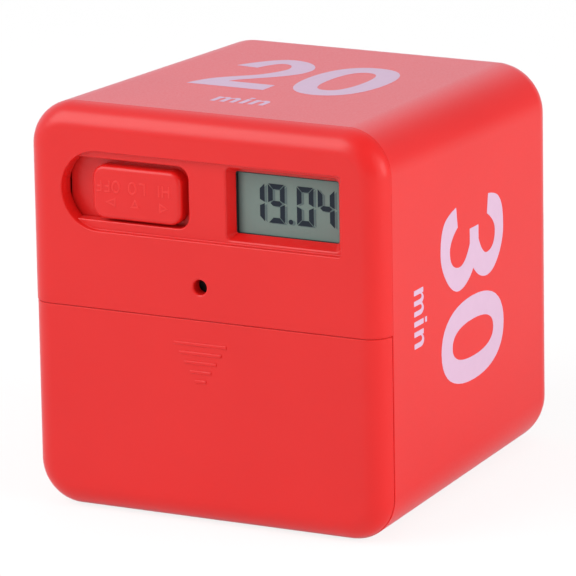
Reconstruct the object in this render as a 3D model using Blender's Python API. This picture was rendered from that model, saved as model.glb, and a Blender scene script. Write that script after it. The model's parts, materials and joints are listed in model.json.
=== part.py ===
"""Cube-shaped kitchen timer with a display, a slide switch and a sliding battery door.

X runs to the right across the display face, +Y from that face to the back, +Z up.
The pieces are drawn upright, at places given as (x, depth, z), where depth is measured
back from the display face. The four sides draw in towards the back, so at the end the
whole timer leans back a little until the side it stands on is level. The origin is then
the centre of its footprint.
"""

import math

import bmesh
import bpy
from mathutils import Matrix, Vector

MM = 0.001

# Clearances
FIT_GAP = 0.3 * MM  # between two pieces that touch
SLIDE_GAP = 0.2 * MM  # between the door and the rails it slides on
SEAM_GAP = 0.25 * MM  # the shut line that shows on the outside
OVERRUN = 1.0 * MM  # how far a cutter stands out of what it cuts
OVERLAP = 0.5 * MM  # how far two shapes run into each other before a union

# AAA cells and their compartment
CELL_LENGTH = 44.5 * MM
CELL_RADIUS = 5.25 * MM
CELL_NUB_RADIUS = 1.9 * MM
CELL_NUB_LENGTH = 0.8 * MM
CELL_EDGE = 0.4 * MM
CELL_SPACING_GAP = 0.5 * MM
PLATE_THICKNESS = 0.3 * MM
PLATE_WIDTH = 7.6 * MM
TAB_WIDTH = 2.2 * MM
TAB_REACH = 2.2 * MM
SPRING_LENGTH = 3.4 * MM
SPRING_WIRE = 0.5 * MM
SPRING_WIDE_RADIUS = 3.1 * MM
SPRING_NARROW_RADIUS = 2.3 * MM
SPRING_TURNS = 3
POCKET_WALL = 1.2 * MM

# Casing
WALL = 2.0 * MM
BODY_DEPTH = 63.5 * MM
CORNER_RADIUS = 7.6 * MM
FRONT_EDGE_RADIUS = 3.8 * MM
BACK_EDGE_RADIUS = 5.6 * MM
DRAFT = 1.4 * MM  # how far each side has drawn in where it reaches the back
BAND_THICKNESS = 0.65 * MM  # thickened front band of the shell
BAND_LENGTH = 2.0 * MM
LIP_GAP = 0.2 * MM
LIP_REACH = 0.55 * MM

# Battery door and the tray behind it
RAIL_ROOM = 2.3 * MM  # beside the compartment, for the door's rails
RAIL_THICKNESS = 0.4 * MM
FLANGE_THICKNESS = 0.6 * MM
FLANGE_EDGE_GAP = 1.2 * MM  # from the tray's flange to the casing wall
RAIL_FOOT_GAP = 0.4 * MM
RAIL_END_GAP = 1.2 * MM
TRAY_THICKNESS = 2.2 * MM
TRAY_BOTTOM_GAP = 1.2 * MM
SHELF_THICKNESS = 1.6 * MM
DOOR_SIDE_STEP = 0.15 * MM
MARK_COUNT = 5
MARK_CENTRE_X = -0.6 * MM
MARK_TOP_DROP = 3.5 * MM
MARK_PITCH = 1.45 * MM
MARK_LENGTH = 9.1 * MM
MARK_LENGTH_STEP = 1.7 * MM
MARK_WIDTH = 0.55 * MM
MARK_RAISE = 0.15 * MM

# Screws
COVER_SCREW_HEAD_RADIUS = 1.9 * MM
COVER_SCREW_HEAD_HEIGHT = 1.3 * MM
COVER_SCREW_SHANK_RADIUS = 1.0 * MM
COVER_SCREW_SHANK_LENGTH = 9.5 * MM
COVER_SCREW_INSET = 4.2 * MM  # in from the end of the compartment
POST_RADIUS = 2.3 * MM
POST_LENGTH = 9.8 * MM
POST_WEB = 1.6 * MM
POST_END_WALL = 1.0 * MM
SEAT_RADIUS = 2.9 * MM
SEAT_THICKNESS = 1.8 * MM
BOARD_SCREW_HEAD_RADIUS = 1.8 * MM
BOARD_SCREW_HEAD_HEIGHT = 1.3 * MM
BOARD_SCREW_SHANK_RADIUS = 0.85 * MM
BOARD_BOSS_RADIUS = 1.9 * MM
BOARD_BOSS_END = 0.5 * MM
CROSS_LENGTH = 2.0 * MM
CROSS_WIDTH = 0.5 * MM
CROSS_DEPTH = 0.6 * MM

# Recess in the front cover, with the switch slot and the display window
RECESS_RISE = 12.2 * MM  # from the cover's lower edge
RECESS_TOP_MARGIN = 7.1 * MM
RECESS_LEFT_MARGIN = 6.3 * MM
RECESS_RIGHT_MARGIN = 6.8 * MM
RECESS_DEPTH = 0.9 * MM
RECESS_WALL = 1.8 * MM
RECESS_CORNER_RADIUS = 0.5 * MM
PAD_BORDER = 1.3 * MM
VIEW_WIDTH = 17.65 * MM
VIEW_HEIGHT = 9.4 * MM
VIEW_CORNER_RADIUS = 0.4 * MM
WINDOW_BEVEL = 0.75 * MM
WINDOW_BEVEL_DEPTH = 1.7 * MM
WINDOW_MARGIN = 0.65 * MM
WINDOW_END_MARGIN = 0.5 * MM
SLOT_LEFT_INSET = 0.6 * MM
SLOT_RAISE = 0.25 * MM
SLOT_CORNER_RADIUS = 2.0 * MM
SLOT_RIM_INSET = 0.1 * MM
SOUND_HOLE_RADIUS = 1.15 * MM
SOUND_HOLE_FLARE = 0.35 * MM
SOUND_HOLE_DROP = 1.0 * MM
SOUND_HOLE_SHIFT = 1.7 * MM

# Knob and slide switch
SWITCH_TRAVEL = 4.0 * MM  # from HI past LO to OFF
KNOB_WIDTH = 15.3 * MM
KNOB_HEIGHT = 8.35 * MM
KNOB_CORNER_RADIUS = 1.6 * MM
KNOB_EDGE_RADIUS = 0.7 * MM
KNOB_FACE_DEPTH = 0.45 * MM
KNOB_SIDE_GAP = 0.65 * MM
KNOB_LEFT_GAP = 0.55 * MM
KNOB_RIGHT_GAP = 1.15 * MM
KNOB_DROP = 0.25 * MM  # of the knob below the middle of its slot
KNOB_FACE_WALL = 1.4 * MM
SKIRT_THICKNESS = 1.0 * MM
SKIRT_END_COVER = 0.4 * MM
SKIRT_SIDE_COVER = 0.8 * MM
SKIRT_REAR_GAP = 0.9 * MM
SWITCH_HALF_LENGTH = 6.2 * MM
SWITCH_HALF_HEIGHT = 2.9 * MM
SWITCH_THICKNESS = 3.1 * MM
SWITCH_SHEET = 0.4 * MM
SWITCH_BASE_THICKNESS = 0.8 * MM
SLIDER_HALF_LENGTH = 2.4 * MM
SLIDER_HALF_HEIGHT = 1.9 * MM
STUB_HALF_LENGTH = 1.0 * MM
STUB_HALF_HEIGHT = 1.3 * MM
PIN_COUNT = 4
PIN_PITCH = 2.0 * MM
PIN_RADIUS = 0.25 * MM
PIN_REACH = 0.6 * MM

# Display
DISPLAY_GAP = 0.4 * MM
GLASS_THICKNESS = 1.1 * MM
GLASS_BORDER = 1.75 * MM
GLASS_LEDGE = 2.1 * MM
HOLDER_WALL = 0.5 * MM
HOLDER_LEDGE = 1.5 * MM
ZEBRA_HEIGHT = 1.4 * MM

# Board and what it carries
BOARD_THICKNESS = 1.2 * MM
BOARD_SIDE_GAP = 1.5 * MM
BOARD_TOP_GAP = 1.0 * MM
BOARD_BOTTOM_GAP = 0.5 * MM
BOARD_SCREW_SIDE_INSET = 2.2 * MM
BOARD_SCREW_BOTTOM_INSET = 2.6 * MM
BOARD_SCREW_TOP_INSET = 1.8 * MM
BUZZER_SIDE_GAP = 0.25 * MM  # to the display's holder
BUZZER_RADIUS = 4.2 * MM
BUZZER_HEIGHT = 5.5 * MM
BUZZER_HOLE_RADIUS = 0.9 * MM
BUZZER_HOLE_DEPTH = 1.2 * MM
BLOB_RADIUS = 4.2 * MM
BLOB_HEIGHT = 1.5 * MM
CRYSTAL_RADIUS = 1.05 * MM
CRYSTAL_LENGTH = 6.2 * MM
CAPACITOR_RADIUS = 2.5 * MM
CAPACITOR_HEIGHT = 5.4 * MM
CAPACITOR_GROOVE = 0.3 * MM
TILT_RADIUS = 2.5 * MM
TILT_WALL = 0.6 * MM
TILT_END_WALL = 0.5 * MM
TILT_LENGTH = 9.0 * MM
TILT_BALL_RADIUS = 1.45 * MM
TILT_PLUG_DEPTH = 1.0 * MM
TILT_PLUG_HEAD = 0.8 * MM
TILT_LEAD_SPACING = 1.8 * MM
TILT_LEAD_RADIUS = 0.2 * MM
TILT_LEAD_REACH = 0.9 * MM
TILT_ANGLE = math.radians(45)
# Places on the back of the board, as shares of its half width and of its height
BLOB_SHARE = (0.0, 0.36)
CRYSTAL_SHARE = (0.2, 0.12)
CAPACITOR_SHARE = (-0.70, 0.20)
TILT_SHARE = (0.74, 0.58)
RED_PAD_SHARE = (0.72, 0.09)
BLACK_PAD_SHARE = (0.58, 0.09)

# Wires
WIRE_RADIUS = 0.6 * MM
WIRE_BOW = 3.2 * MM  # how far back a wire swings behind the screw post
WIRE_ROUTE_STEPS = 22

# Hooks that hold the cover at its top and bottom
HOOK_CENTRE_X = 16.0 * MM
HOOK_WIDTH = 6.0 * MM
HOOK_THICKNESS = 1.0 * MM
HOOK_BARB = 0.55 * MM
HOOK_BARB_LENGTH = 1.0 * MM

# Facets
CORNER_STEPS = 6
FRONT_EDGE_STEPS = 4
BACK_EDGE_STEPS = 5
ROUND_STEPS = 20
SMALL_ROUND_STEPS = 12
TINY_ROUND_STEPS = 8
SPRING_POINTS_PER_TURN = 10

# Compartment, worked out from the cells
pocket_half = (CELL_LENGTH + SPRING_LENGTH + 2 * PLATE_THICKNESS + 5 * FIT_GAP) / 2
pocket_outer_half = pocket_half + POCKET_WALL
tray_bottom = WALL + TRAY_BOTTOM_GAP
pocket_bottom = tray_bottom + POCKET_WALL
lower_cell_z = pocket_bottom + FIT_GAP + CELL_RADIUS
upper_cell_z = lower_cell_z + 2 * CELL_RADIUS + CELL_SPACING_GAP
pocket_top = upper_cell_z + CELL_RADIUS + FIT_GAP
pocket_outer_top = pocket_top + POCKET_WALL

# Depths of the front cover's layers
flange_front = WALL + SLIDE_GAP
flange_back = flange_front + FLANGE_THICKNESS
rail_front = flange_back + SLIDE_GAP
seam_front = rail_front + RAIL_THICKNESS
seam_back = seam_front + SEAM_GAP
band_back = seam_back + BAND_LENGTH
tray_back = flange_front + TRAY_THICKNESS
recess_back = RECESS_DEPTH + RECESS_WALL
skirt_front = recess_back + FIT_GAP
skirt_back = skirt_front + SKIRT_THICKNESS
switch_front = skirt_back + SKIRT_REAR_GAP
switch_back = switch_front + SWITCH_THICKNESS
board_front = switch_back + FIT_GAP
board_back = board_front + BOARD_THICKNESS
parts_front = board_back + FIT_GAP  # where the pieces behind the board start
glass_front = recess_back + DISPLAY_GAP
glass_middle = glass_front + GLASS_THICKNESS
glass_back = glass_middle + GLASS_THICKNESS
cell_depth = tray_back + FIT_GAP + CELL_RADIUS - FLANGE_THICKNESS - OVERLAP
pocket_floor = cell_depth + CELL_RADIUS + FIT_GAP
pocket_outer_floor = pocket_floor + POCKET_WALL
head_front = WALL + FIT_GAP + SLIDE_GAP
head_back = head_front + COVER_SCREW_HEAD_HEIGHT
seat_front = head_back + FIT_GAP
seat_back = seat_front + SEAT_THICKNESS
post_front = seat_back + FIT_GAP

# Heights, from the bottom up
cover_screw_z = pocket_outer_top + FIT_GAP + POST_RADIUS
cover_bottom = cover_screw_z + COVER_SCREW_HEAD_RADIUS + FIT_GAP
door_top = cover_bottom - SEAM_GAP
shelf_top = cover_bottom + SHELF_THICKNESS
buzzer_z = shelf_top + FIT_GAP + BUZZER_RADIUS
sound_hole_z = buzzer_z - SOUND_HOLE_DROP
slot_height = KNOB_HEIGHT + 2 * KNOB_SIDE_GAP
window_height = VIEW_HEIGHT + 2 * WINDOW_BEVEL
recess_height = max(window_height + 2 * WINDOW_MARGIN, slot_height + 4 * SLOT_RAISE)
recess_bottom = cover_bottom + RECESS_RISE
recess_top = recess_bottom + recess_height
recess_middle = (recess_bottom + recess_top) / 2
body_height = recess_top + RECESS_TOP_MARGIN
slot_z = recess_middle + SLOT_RAISE
knob_z = slot_z - KNOB_DROP

# Widths
slot_width = KNOB_LEFT_GAP + SWITCH_TRAVEL + KNOB_WIDTH + KNOB_RIGHT_GAP
skirt_width = slot_width + SWITCH_TRAVEL + 2 * SKIRT_END_COVER
holder_border = GLASS_BORDER + FIT_GAP + HOLDER_WALL  # from the edge of the view
switch_room = SLOT_LEFT_INSET - SKIRT_END_COVER + skirt_width + FIT_GAP
display_room = holder_border + VIEW_WIDTH + WINDOW_BEVEL + WINDOW_END_MARGIN
front_width = RECESS_LEFT_MARGIN + switch_room + display_room + RECESS_RIGHT_MARGIN
# The casing is as wide as the cells need, or as the switch and the display beside it
body_half_width = max(pocket_outer_half + RAIL_ROOM + WALL, front_width / 2)
inner_half_width = body_half_width - WALL
recess_left = RECESS_LEFT_MARGIN - body_half_width
recess_right = body_half_width - RECESS_RIGHT_MARGIN
slot_left = recess_left + SLOT_LEFT_INSET
slot_right = slot_left + slot_width
knob_x = slot_right - KNOB_RIGHT_GAP - KNOB_WIDTH / 2
view_right = recess_right - WINDOW_END_MARGIN - WINDOW_BEVEL
view_left = view_right - VIEW_WIDTH
buzzer_x = view_left - holder_border - BUZZER_SIDE_GAP - BUZZER_RADIUS
view_bottom = recess_middle - VIEW_HEIGHT / 2
view_top = recess_middle + VIEW_HEIGHT / 2
cover_screw_x = pocket_outer_half - COVER_SCREW_INSET
board_half_width = inner_half_width - BOARD_SIDE_GAP
board_bottom = shelf_top + BOARD_BOTTOM_GAP
board_top = body_height - WALL - BOARD_TOP_GAP
board_screw_x = board_half_width - BOARD_SCREW_SIDE_INSET
board_screw_low_z = board_bottom + BOARD_SCREW_BOTTOM_INSET
board_screw_high_z = board_top - BOARD_SCREW_TOP_INSET
board_screw_mid_x = buzzer_x + SOUND_HOLE_SHIFT
BOARD_SCREWS = {
    "left": (-board_screw_x, board_screw_low_z),
    "right": (board_screw_x, board_screw_low_z),
    "top": (board_screw_mid_x, board_screw_high_z),
}



def place(x, depth, z):
    """A place on the upright timer."""
    return Vector((x, depth, z))


def make_object(name, points, faces):
    """A mesh object in the scene, with its faces turned outwards."""
    mesh = bpy.data.meshes.new(name)
    mesh.from_pydata([tuple(point) for point in points], [], faces)
    shape = bmesh.new()
    shape.from_mesh(mesh)
    bmesh.ops.recalc_face_normals(shape, faces=shape.faces)
    shape.to_mesh(mesh)
    shape.free()
    made = bpy.data.objects.new(name, mesh)
    bpy.context.scene.collection.objects.link(made)
    return made


def loft(name, rings):
    """Skins a row of rings of equally many points, and closes both ends."""
    count = len(rings[0])
    faces = [list(range(count)), list(range((len(rings) - 1) * count, len(rings) * count))]
    for row in range(len(rings) - 1):
        for i in range(count):
            j = (i + 1) % count
            faces.append([row * count + i, row * count + j, (row + 1) * count + j, (row + 1) * count + i])
    return make_object(name, [point for ring in rings for point in ring], faces)


def box(name, x_range, depth_range, z_range):
    (x0, x1), (z0, z1) = x_range, z_range
    outline = [(x0, z0), (x1, z0), (x1, z1), (x0, z1)]
    return prism(name, outline, depth_range)


def prism(name, outline, depths):
    """A straight block from an outline of (x, z) points, between two depths."""
    return loft(name, [[place(x, depth, z) for x, z in outline] for depth in depths])


def bar_along_x(name, outline, x_range):
    """A straight block from an outline of (depth, z) points, between two values of x."""
    return loft(name, [[place(x, depth, z) for depth, z in outline] for x in x_range])


def arc(centre_x, centre_z, radius, start, end, steps):
    """Points of an arc in the (x, z) plane, with its angles in quarter turns."""
    angles = [math.pi / 2 * (start + (end - start) * i / steps) for i in range(steps + 1)]
    return [(centre_x + radius * math.cos(a), centre_z + radius * math.sin(a)) for a in angles]


def rounded_rectangle(left, right, bottom, top, radius, steps=CORNER_STEPS):
    """An outline with four round corners."""
    points = arc(right - radius, bottom + radius, radius, -1, 0, steps)
    points += arc(right - radius, top - radius, radius, 0, 1, steps)
    points += arc(left + radius, top - radius, radius, 1, 2, steps)
    points += arc(left + radius, bottom + radius, radius, 2, 3, steps)
    return points


def turned(name, start, axis, profile, steps=ROUND_STEPS):
    """Turns a profile of (radius, distance along the axis) points about an axis.

    A radius of zero is a point on the axis.
    """
    axis = Vector(axis).normalized()
    across = axis.orthogonal().normalized()
    beside = axis.cross(across)
    points, rings = [], []
    for radius, along in profile:
        centre = Vector(start) + axis * along
        if radius == 0:
            rings.append([len(points)])
            points.append(centre)
            continue
        rings.append(list(range(len(points), len(points) + steps)))
        for i in range(steps):
            angle = 2 * math.pi * i / steps
            points.append(centre + radius * (math.cos(angle) * across + math.sin(angle) * beside))
    faces = [rings[end] for end in (0, -1) if len(rings[end]) > 1]
    for first, second in zip(rings, rings[1:]):
        for i in range(steps):
            j = (i + 1) % steps
            corners = [first[i % len(first)], first[j % len(first)]]
            corners += [second[j % len(second)], second[i % len(second)]]
            faces.append(list(dict.fromkeys(corners)))
    return make_object(name, points, faces)


def rod(name, x, z, radius, depths, steps=ROUND_STEPS):
    """A cylinder that runs from one depth to another."""
    front, back = depths
    return turned(name, place(x, front, z), (0, 1, 0), [(radius, 0), (radius, back - front)], steps)


def swept(name, route, radius, steps):
    """A round rod along a list of points, with mitred bends and flat ends."""
    across = (route[1] - route[0]).orthogonal()
    rings = []
    for i, point in enumerate(route):
        before = point - route[max(i - 1, 0)]
        after = route[min(i + 1, len(route) - 1)] - point
        along = (before.normalized() + after.normalized()).normalized()
        across = (across - along * across.dot(along)).normalized()
        beside = along.cross(across)
        angles = [2 * math.pi * j / steps for j in range(steps)]
        rings.append([point + radius * (math.cos(a) * across + math.sin(a) * beside) for a in angles])
    return loft(name, rings)


def boolean(target, tool, operation):
    """Joins, cuts or trims the target with the tool, and removes the tool."""
    modifier = target.modifiers.new(operation, "BOOLEAN")
    modifier.operation = operation
    modifier.solver = "EXACT"
    modifier.object = tool
    bpy.context.view_layer.update()
    evaluated = target.evaluated_get(bpy.context.evaluated_depsgraph_get())
    result = bpy.data.meshes.new_from_object(evaluated)
    target.modifiers.remove(modifier)
    target.data = result
    bpy.data.objects.remove(tool)
    return target


def add(target, *tools):
    for tool in tools:
        boolean(target, tool, "UNION")
    return target


def cut(target, *tools):
    for tool in tools:
        boolean(target, tool, "DIFFERENCE")
    return target


def trim(target, tool):
    return boolean(target, tool, "INTERSECT")


def finish(piece, colour, roughness, metallic=0.0, origin=None, smooth_degrees=35):
    """Gives a piece its material and shading, and its origin where it is a moving one."""
    material = bpy.data.materials.new(piece.name)
    material.use_nodes = True
    shader = material.node_tree.nodes["Principled BSDF"]
    shader.inputs["Base Color"].default_value = (*colour, 1)
    shader.inputs["Roughness"].default_value = roughness
    shader.inputs["Metallic"].default_value = metallic
    piece.data.materials.clear()
    piece.data.materials.append(material)
    piece.data.shade_smooth()
    piece.data.set_sharp_from_angle(angle=math.radians(smooth_degrees))
    if origin is not None:
        piece.data.transform(Matrix.Translation(-origin))
        piece.location = origin
    return piece


RED = (0.80, 0.045, 0.040)
BLACK_PLASTIC = (0.02, 0.02, 0.022)
STEEL = (0.62, 0.62, 0.60)


def body_rings(offset, side_inset=0.0):
    """Rings of the whole cube, drawn in by an offset on every side."""
    front_radius = max(FRONT_EDGE_RADIUS - offset, OVERLAP)
    back_radius = max(BACK_EDGE_RADIUS - offset, OVERLAP)
    corner_radius = max(CORNER_RADIUS - offset, OVERLAP)
    straight_front = offset + front_radius
    straight_back = BODY_DEPTH - offset - back_radius
    draft = DRAFT * (straight_back - straight_front) / (BODY_DEPTH - FRONT_EDGE_RADIUS)
    stations = []
    for i in range(FRONT_EDGE_STEPS + 1):
        angle = math.pi / 2 * i / FRONT_EDGE_STEPS
        inset = front_radius * (1 - math.sin(angle))
        stations.append((offset + front_radius * (1 - math.cos(angle)), inset))
    for i in range(BACK_EDGE_STEPS + 1):
        angle = math.pi / 2 * i / BACK_EDGE_STEPS
        inset = draft + back_radius * (1 - math.cos(angle))
        stations.append((straight_back + back_radius * math.sin(angle), inset))
    rings = []
    for depth, inset in stations:
        inward = offset + side_inset + inset
        radius = max(corner_radius - side_inset - inset, OVERLAP)
        half = body_half_width - inward
        outline = rounded_rectangle(-half, half, inward, body_height - inward, radius)
        rings.append([place(x, depth, z) for x, z in outline])
    return rings


def body(name, offset, side_inset=0.0):
    return loft(name, body_rings(offset, side_inset))


def slab(depth_range, z_range):
    """A block wider than the timer, to trim with."""
    reach = body_half_width + OVERRUN
    return box("slab", (-reach, reach), depth_range, z_range)


ALL_HEIGHTS = (-OVERRUN, body_height + OVERRUN)
ALL_DEPTHS = (-OVERRUN, BODY_DEPTH + OVERRUN)


def recess_outline(inset=0.0):
    """A half circle at the left end and two small corners at the right end."""
    bottom, top = recess_bottom + inset, recess_top - inset
    radius = (top - bottom) / 2
    left, right = recess_left + inset, recess_right - inset
    corner = RECESS_CORNER_RADIUS
    points = arc(right - corner, bottom + corner, corner, -1, 0, CORNER_STEPS)
    points += arc(right - corner, top - corner, corner, 0, 1, CORNER_STEPS)
    points += arc(left + radius, bottom + radius, radius, 1, 3, 3 * CORNER_STEPS)
    return points


def make_main_shell():
    shell = trim(body("main_shell", 0), slab((seam_back, BODY_DEPTH + OVERRUN), ALL_HEIGHTS))
    lip = body("lip", WALL + LIP_GAP)
    lip_bottom = shelf_top + FIT_GAP
    trim(lip, slab((seam_back - LIP_REACH, band_back - OVERLAP), (lip_bottom, body_height)))
    add(shell, lip)
    hollow = trim(body("hollow", WALL), slab((band_back, BODY_DEPTH), ALL_HEIGHTS))
    mouth = trim(body("mouth", WALL + BAND_THICKNESS), slab((-OVERRUN, band_back + OVERRUN), ALL_HEIGHTS))
    cut(shell, hollow, mouth)
    # Relief in the lip for the knob's skirt when it stands at OFF
    skirt_end = slot_left - SKIRT_END_COVER - SWITCH_TRAVEL
    skirt_half = slot_height / 2 + SKIRT_SIDE_COVER + FIT_GAP
    relief = box(
        "relief",
        (min(skirt_end - FIT_GAP, LIP_GAP - inner_half_width), skirt_end + OVERRUN),
        (seam_back - LIP_REACH - OVERRUN, skirt_back + FIT_GAP),
        (slot_z - skirt_half, slot_z + skirt_half),
    )
    cut(shell, relief)
    post_back = post_front + POST_LENGTH
    for side in (-1, 1):
        x = side * cover_screw_x
        wall_x = side * (inner_half_width + OVERLAP)
        web = box(
            "web",
            sorted((x, wall_x)),
            (post_front, post_back),
            (cover_screw_z - POST_WEB / 2, cover_screw_z + POST_WEB / 2),
        )
        add(shell, web, rod("post", x, cover_screw_z, POST_RADIUS, (post_front, post_back)))
        hole_radius = COVER_SCREW_SHANK_RADIUS + FIT_GAP
        hole_depths = (post_front - OVERRUN, post_back - POST_END_WALL)
        cut(shell, rod("hole", x, cover_screw_z, hole_radius, hole_depths, SMALL_ROUND_STEPS))
    return finish(shell, RED, 0.42)


def make_front_panel():
    """The upper front wall with its wrapped rim and the shelf above the door."""
    over_the_top = body_height + OVERRUN
    panel = trim(body("front_cover", 0), slab((-OVERRUN, seam_front), (cover_bottom, over_the_top)))
    hollow = trim(body("hollow", WALL), slab(ALL_DEPTHS, (shelf_top, over_the_top)))
    cut(panel, hollow)
    pad = box(
        "pad",
        (recess_left - PAD_BORDER, recess_right + PAD_BORDER),
        (WALL - OVERLAP, recess_back),
        (recess_bottom - PAD_BORDER, recess_top + PAD_BORDER),
    )
    return add(panel, pad)


def add_tray(cover):
    """The plate behind the door, with its side flanges, and the cells' compartment."""
    flange_half = inner_half_width - FLANGE_EDGE_GAP
    tray_top = shelf_top - OVERLAP
    section = [
        (-flange_half, flange_front),
        (flange_half, flange_front),
        (flange_half, flange_back),
        (pocket_outer_half, flange_back),
        (pocket_outer_half, tray_back),
        (-pocket_outer_half, tray_back),
        (-pocket_outer_half, flange_back),
        (-flange_half, flange_back),
    ]
    tray = loft("tray", [[place(x, depth, z) for x, depth in section] for z in (tray_bottom, tray_top)])
    compartment = box(
        "compartment",
        (-pocket_outer_half, pocket_outer_half),
        (flange_back, pocket_outer_floor),
        (tray_bottom, pocket_outer_top),
    )
    add(tray, compartment)
    inset = body_half_width - flange_half
    limit = rounded_rectangle(
        -flange_half,
        flange_half,
        min(inset, tray_bottom),
        body_height - inset,
        CORNER_RADIUS - inset,
    )
    trim(tray, prism("limit", limit, (0, pocket_outer_floor + OVERRUN)))
    add(cover, tray)
    seat_depths = (tray_back - OVERLAP, seat_back)
    for side in (-1, 1):
        add(cover, rod("seat", side * cover_screw_x, cover_screw_z, SEAT_RADIUS, seat_depths))
    space = box(
        "space",
        (-pocket_half, pocket_half),
        (flange_front - OVERRUN, pocket_floor),
        (pocket_bottom, pocket_top),
    )
    cut(cover, space)
    for z in (lower_cell_z, upper_cell_z):
        half = TAB_WIDTH / 2 + FIT_GAP
        slit = box(
            "slit",
            (pocket_half - 2 * FIT_GAP - PLATE_THICKNESS, pocket_half),
            (pocket_floor - OVERRUN, pocket_outer_floor + OVERRUN),
            (z - half, z + half),
        )
        cut(cover, slit)
    for side in (-1, 1):
        x = side * cover_screw_x
        head_radius = COVER_SCREW_HEAD_RADIUS + FIT_GAP
        head_hole = rod("head_hole", x, cover_screw_z, head_radius, (flange_front - OVERRUN, seat_front))
        shank_radius = COVER_SCREW_SHANK_RADIUS + FIT_GAP
        shank_depths = (seat_front - OVERLAP, seat_back + OVERRUN)
        shank_hole = rod("shank_hole", x, cover_screw_z, shank_radius, shank_depths, SMALL_ROUND_STEPS)
        cut(cover, head_hole, shank_hole)


def add_cover_fixings(cover):
    """Bosses for the board's screws, and hooks that grip the shell's front band."""
    for x, z in BOARD_SCREWS.values():
        add(cover, rod("boss", x, z, BOARD_BOSS_RADIUS, (WALL - OVERLAP, board_front - FIT_GAP)))
        hole_radius = BOARD_SCREW_SHANK_RADIUS + FIT_GAP
        hole_depths = (WALL + BOARD_BOSS_END, board_front + OVERRUN)
        cut(cover, rod("hole", x, z, hole_radius, hole_depths, SMALL_ROUND_STEPS))
    barb_front = band_back + FIT_GAP
    barb_back = barb_front + HOOK_BARB_LENGTH
    arm_top = body_height - WALL - BAND_THICKNESS - FIT_GAP
    arm_bottom = arm_top - HOOK_THICKNESS
    upper_hook = [
        (WALL - OVERLAP, arm_bottom),
        (barb_back, arm_bottom),
        (barb_back, arm_top),
        (barb_front + HOOK_BARB_LENGTH / 2, arm_top + HOOK_BARB),
        (barb_front, arm_top + HOOK_BARB),
        (barb_front, arm_top),
        (WALL - OVERLAP, arm_top),
    ]
    barb_bottom = WALL + FIT_GAP + DRAFT * band_back / BODY_DEPTH
    lower_hook = [
        (barb_front, pocket_bottom - OVERLAP),
        (barb_front, barb_bottom),
        (barb_front + HOOK_BARB_LENGTH / 2, barb_bottom),
        (barb_back, tray_bottom),
        (barb_back, pocket_bottom - OVERLAP),
    ]
    for side in (-1, 1):
        x_range = (side * HOOK_CENTRE_X - HOOK_WIDTH / 2, side * HOOK_CENTRE_X + HOOK_WIDTH / 2)
        add(cover, bar_along_x("upper_hook", upper_hook, x_range))
        add(cover, bar_along_x("lower_hook", lower_hook, x_range))


def cut_cover_openings(cover):
    """The recess, the knob's slot, the bevelled window and the sound hole."""
    cut(cover, prism("recess", recess_outline(), (-OVERRUN, RECESS_DEPTH)))
    slot_outline = rounded_rectangle(
        slot_left, slot_right, slot_z - slot_height / 2, slot_z + slot_height / 2, SLOT_CORNER_RADIUS
    )
    slot_depths = (-OVERRUN, recess_back + OVERRUN)
    slot = prism("slot", slot_outline, slot_depths)
    trim(slot, prism("rim", recess_outline(SLOT_RIM_INSET), (-2 * OVERRUN, recess_back + 2 * OVERRUN)))
    cut(cover, slot)
    rings = []
    for depth, spread in (
        (RECESS_DEPTH - OVERLAP, WINDOW_BEVEL),
        (RECESS_DEPTH, WINDOW_BEVEL),
        (RECESS_DEPTH + WINDOW_BEVEL_DEPTH, 0),
        (recess_back + OVERRUN, 0),
    ):
        outline = rounded_rectangle(
            view_left - spread,
            view_right + spread,
            view_bottom - spread,
            view_top + spread,
            VIEW_CORNER_RADIUS + spread / 2,
        )
        rings.append([place(x, depth, z) for x, z in outline])
    cut(cover, loft("window", rings))
    flare = [
        (SOUND_HOLE_RADIUS + 2 * SOUND_HOLE_FLARE, -SOUND_HOLE_FLARE),
        (SOUND_HOLE_RADIUS, SOUND_HOLE_FLARE),
        (SOUND_HOLE_RADIUS, WALL + OVERRUN),
    ]
    hole_x = buzzer_x + SOUND_HOLE_SHIFT
    cut(cover, turned("sound_hole", place(hole_x, 0, sound_hole_z), (0, 1, 0), flare))


def make_front_cover():
    cover = make_front_panel()
    add_tray(cover)
    add_cover_fixings(cover)
    cut_cover_openings(cover)
    return finish(cover, RED, 0.42)


def make_battery_door():
    door = trim(body("battery_door", 0, DOOR_SIDE_STEP), slab((-OVERRUN, seam_front), (-OVERRUN, door_top)))
    hollow = body("hollow", WALL)
    for side in (-1, 1):
        foot = side * (pocket_outer_half + RAIL_FOOT_GAP)
        rail = box(
            "rail",
            sorted((foot, side * (body_half_width + OVERRUN))),
            (rail_front, seam_front + OVERRUN),
            (CORNER_RADIUS, door_top - RAIL_END_GAP),
        )
        cut(hollow, rail)
    cut(door, hollow)
    for i in range(MARK_COUNT):
        half = (MARK_LENGTH - i * MARK_LENGTH_STEP) / 2
        z = door_top - MARK_TOP_DROP - i * MARK_PITCH
        mark = box(
            "mark",
            (MARK_CENTRE_X - half, MARK_CENTRE_X + half),
            (-MARK_RAISE, OVERLAP),
            (z - MARK_WIDTH / 2, z + MARK_WIDTH / 2),
        )
        add(door, mark)
    return finish(door, RED, 0.42, origin=place(0, 0, door_top))


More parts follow.
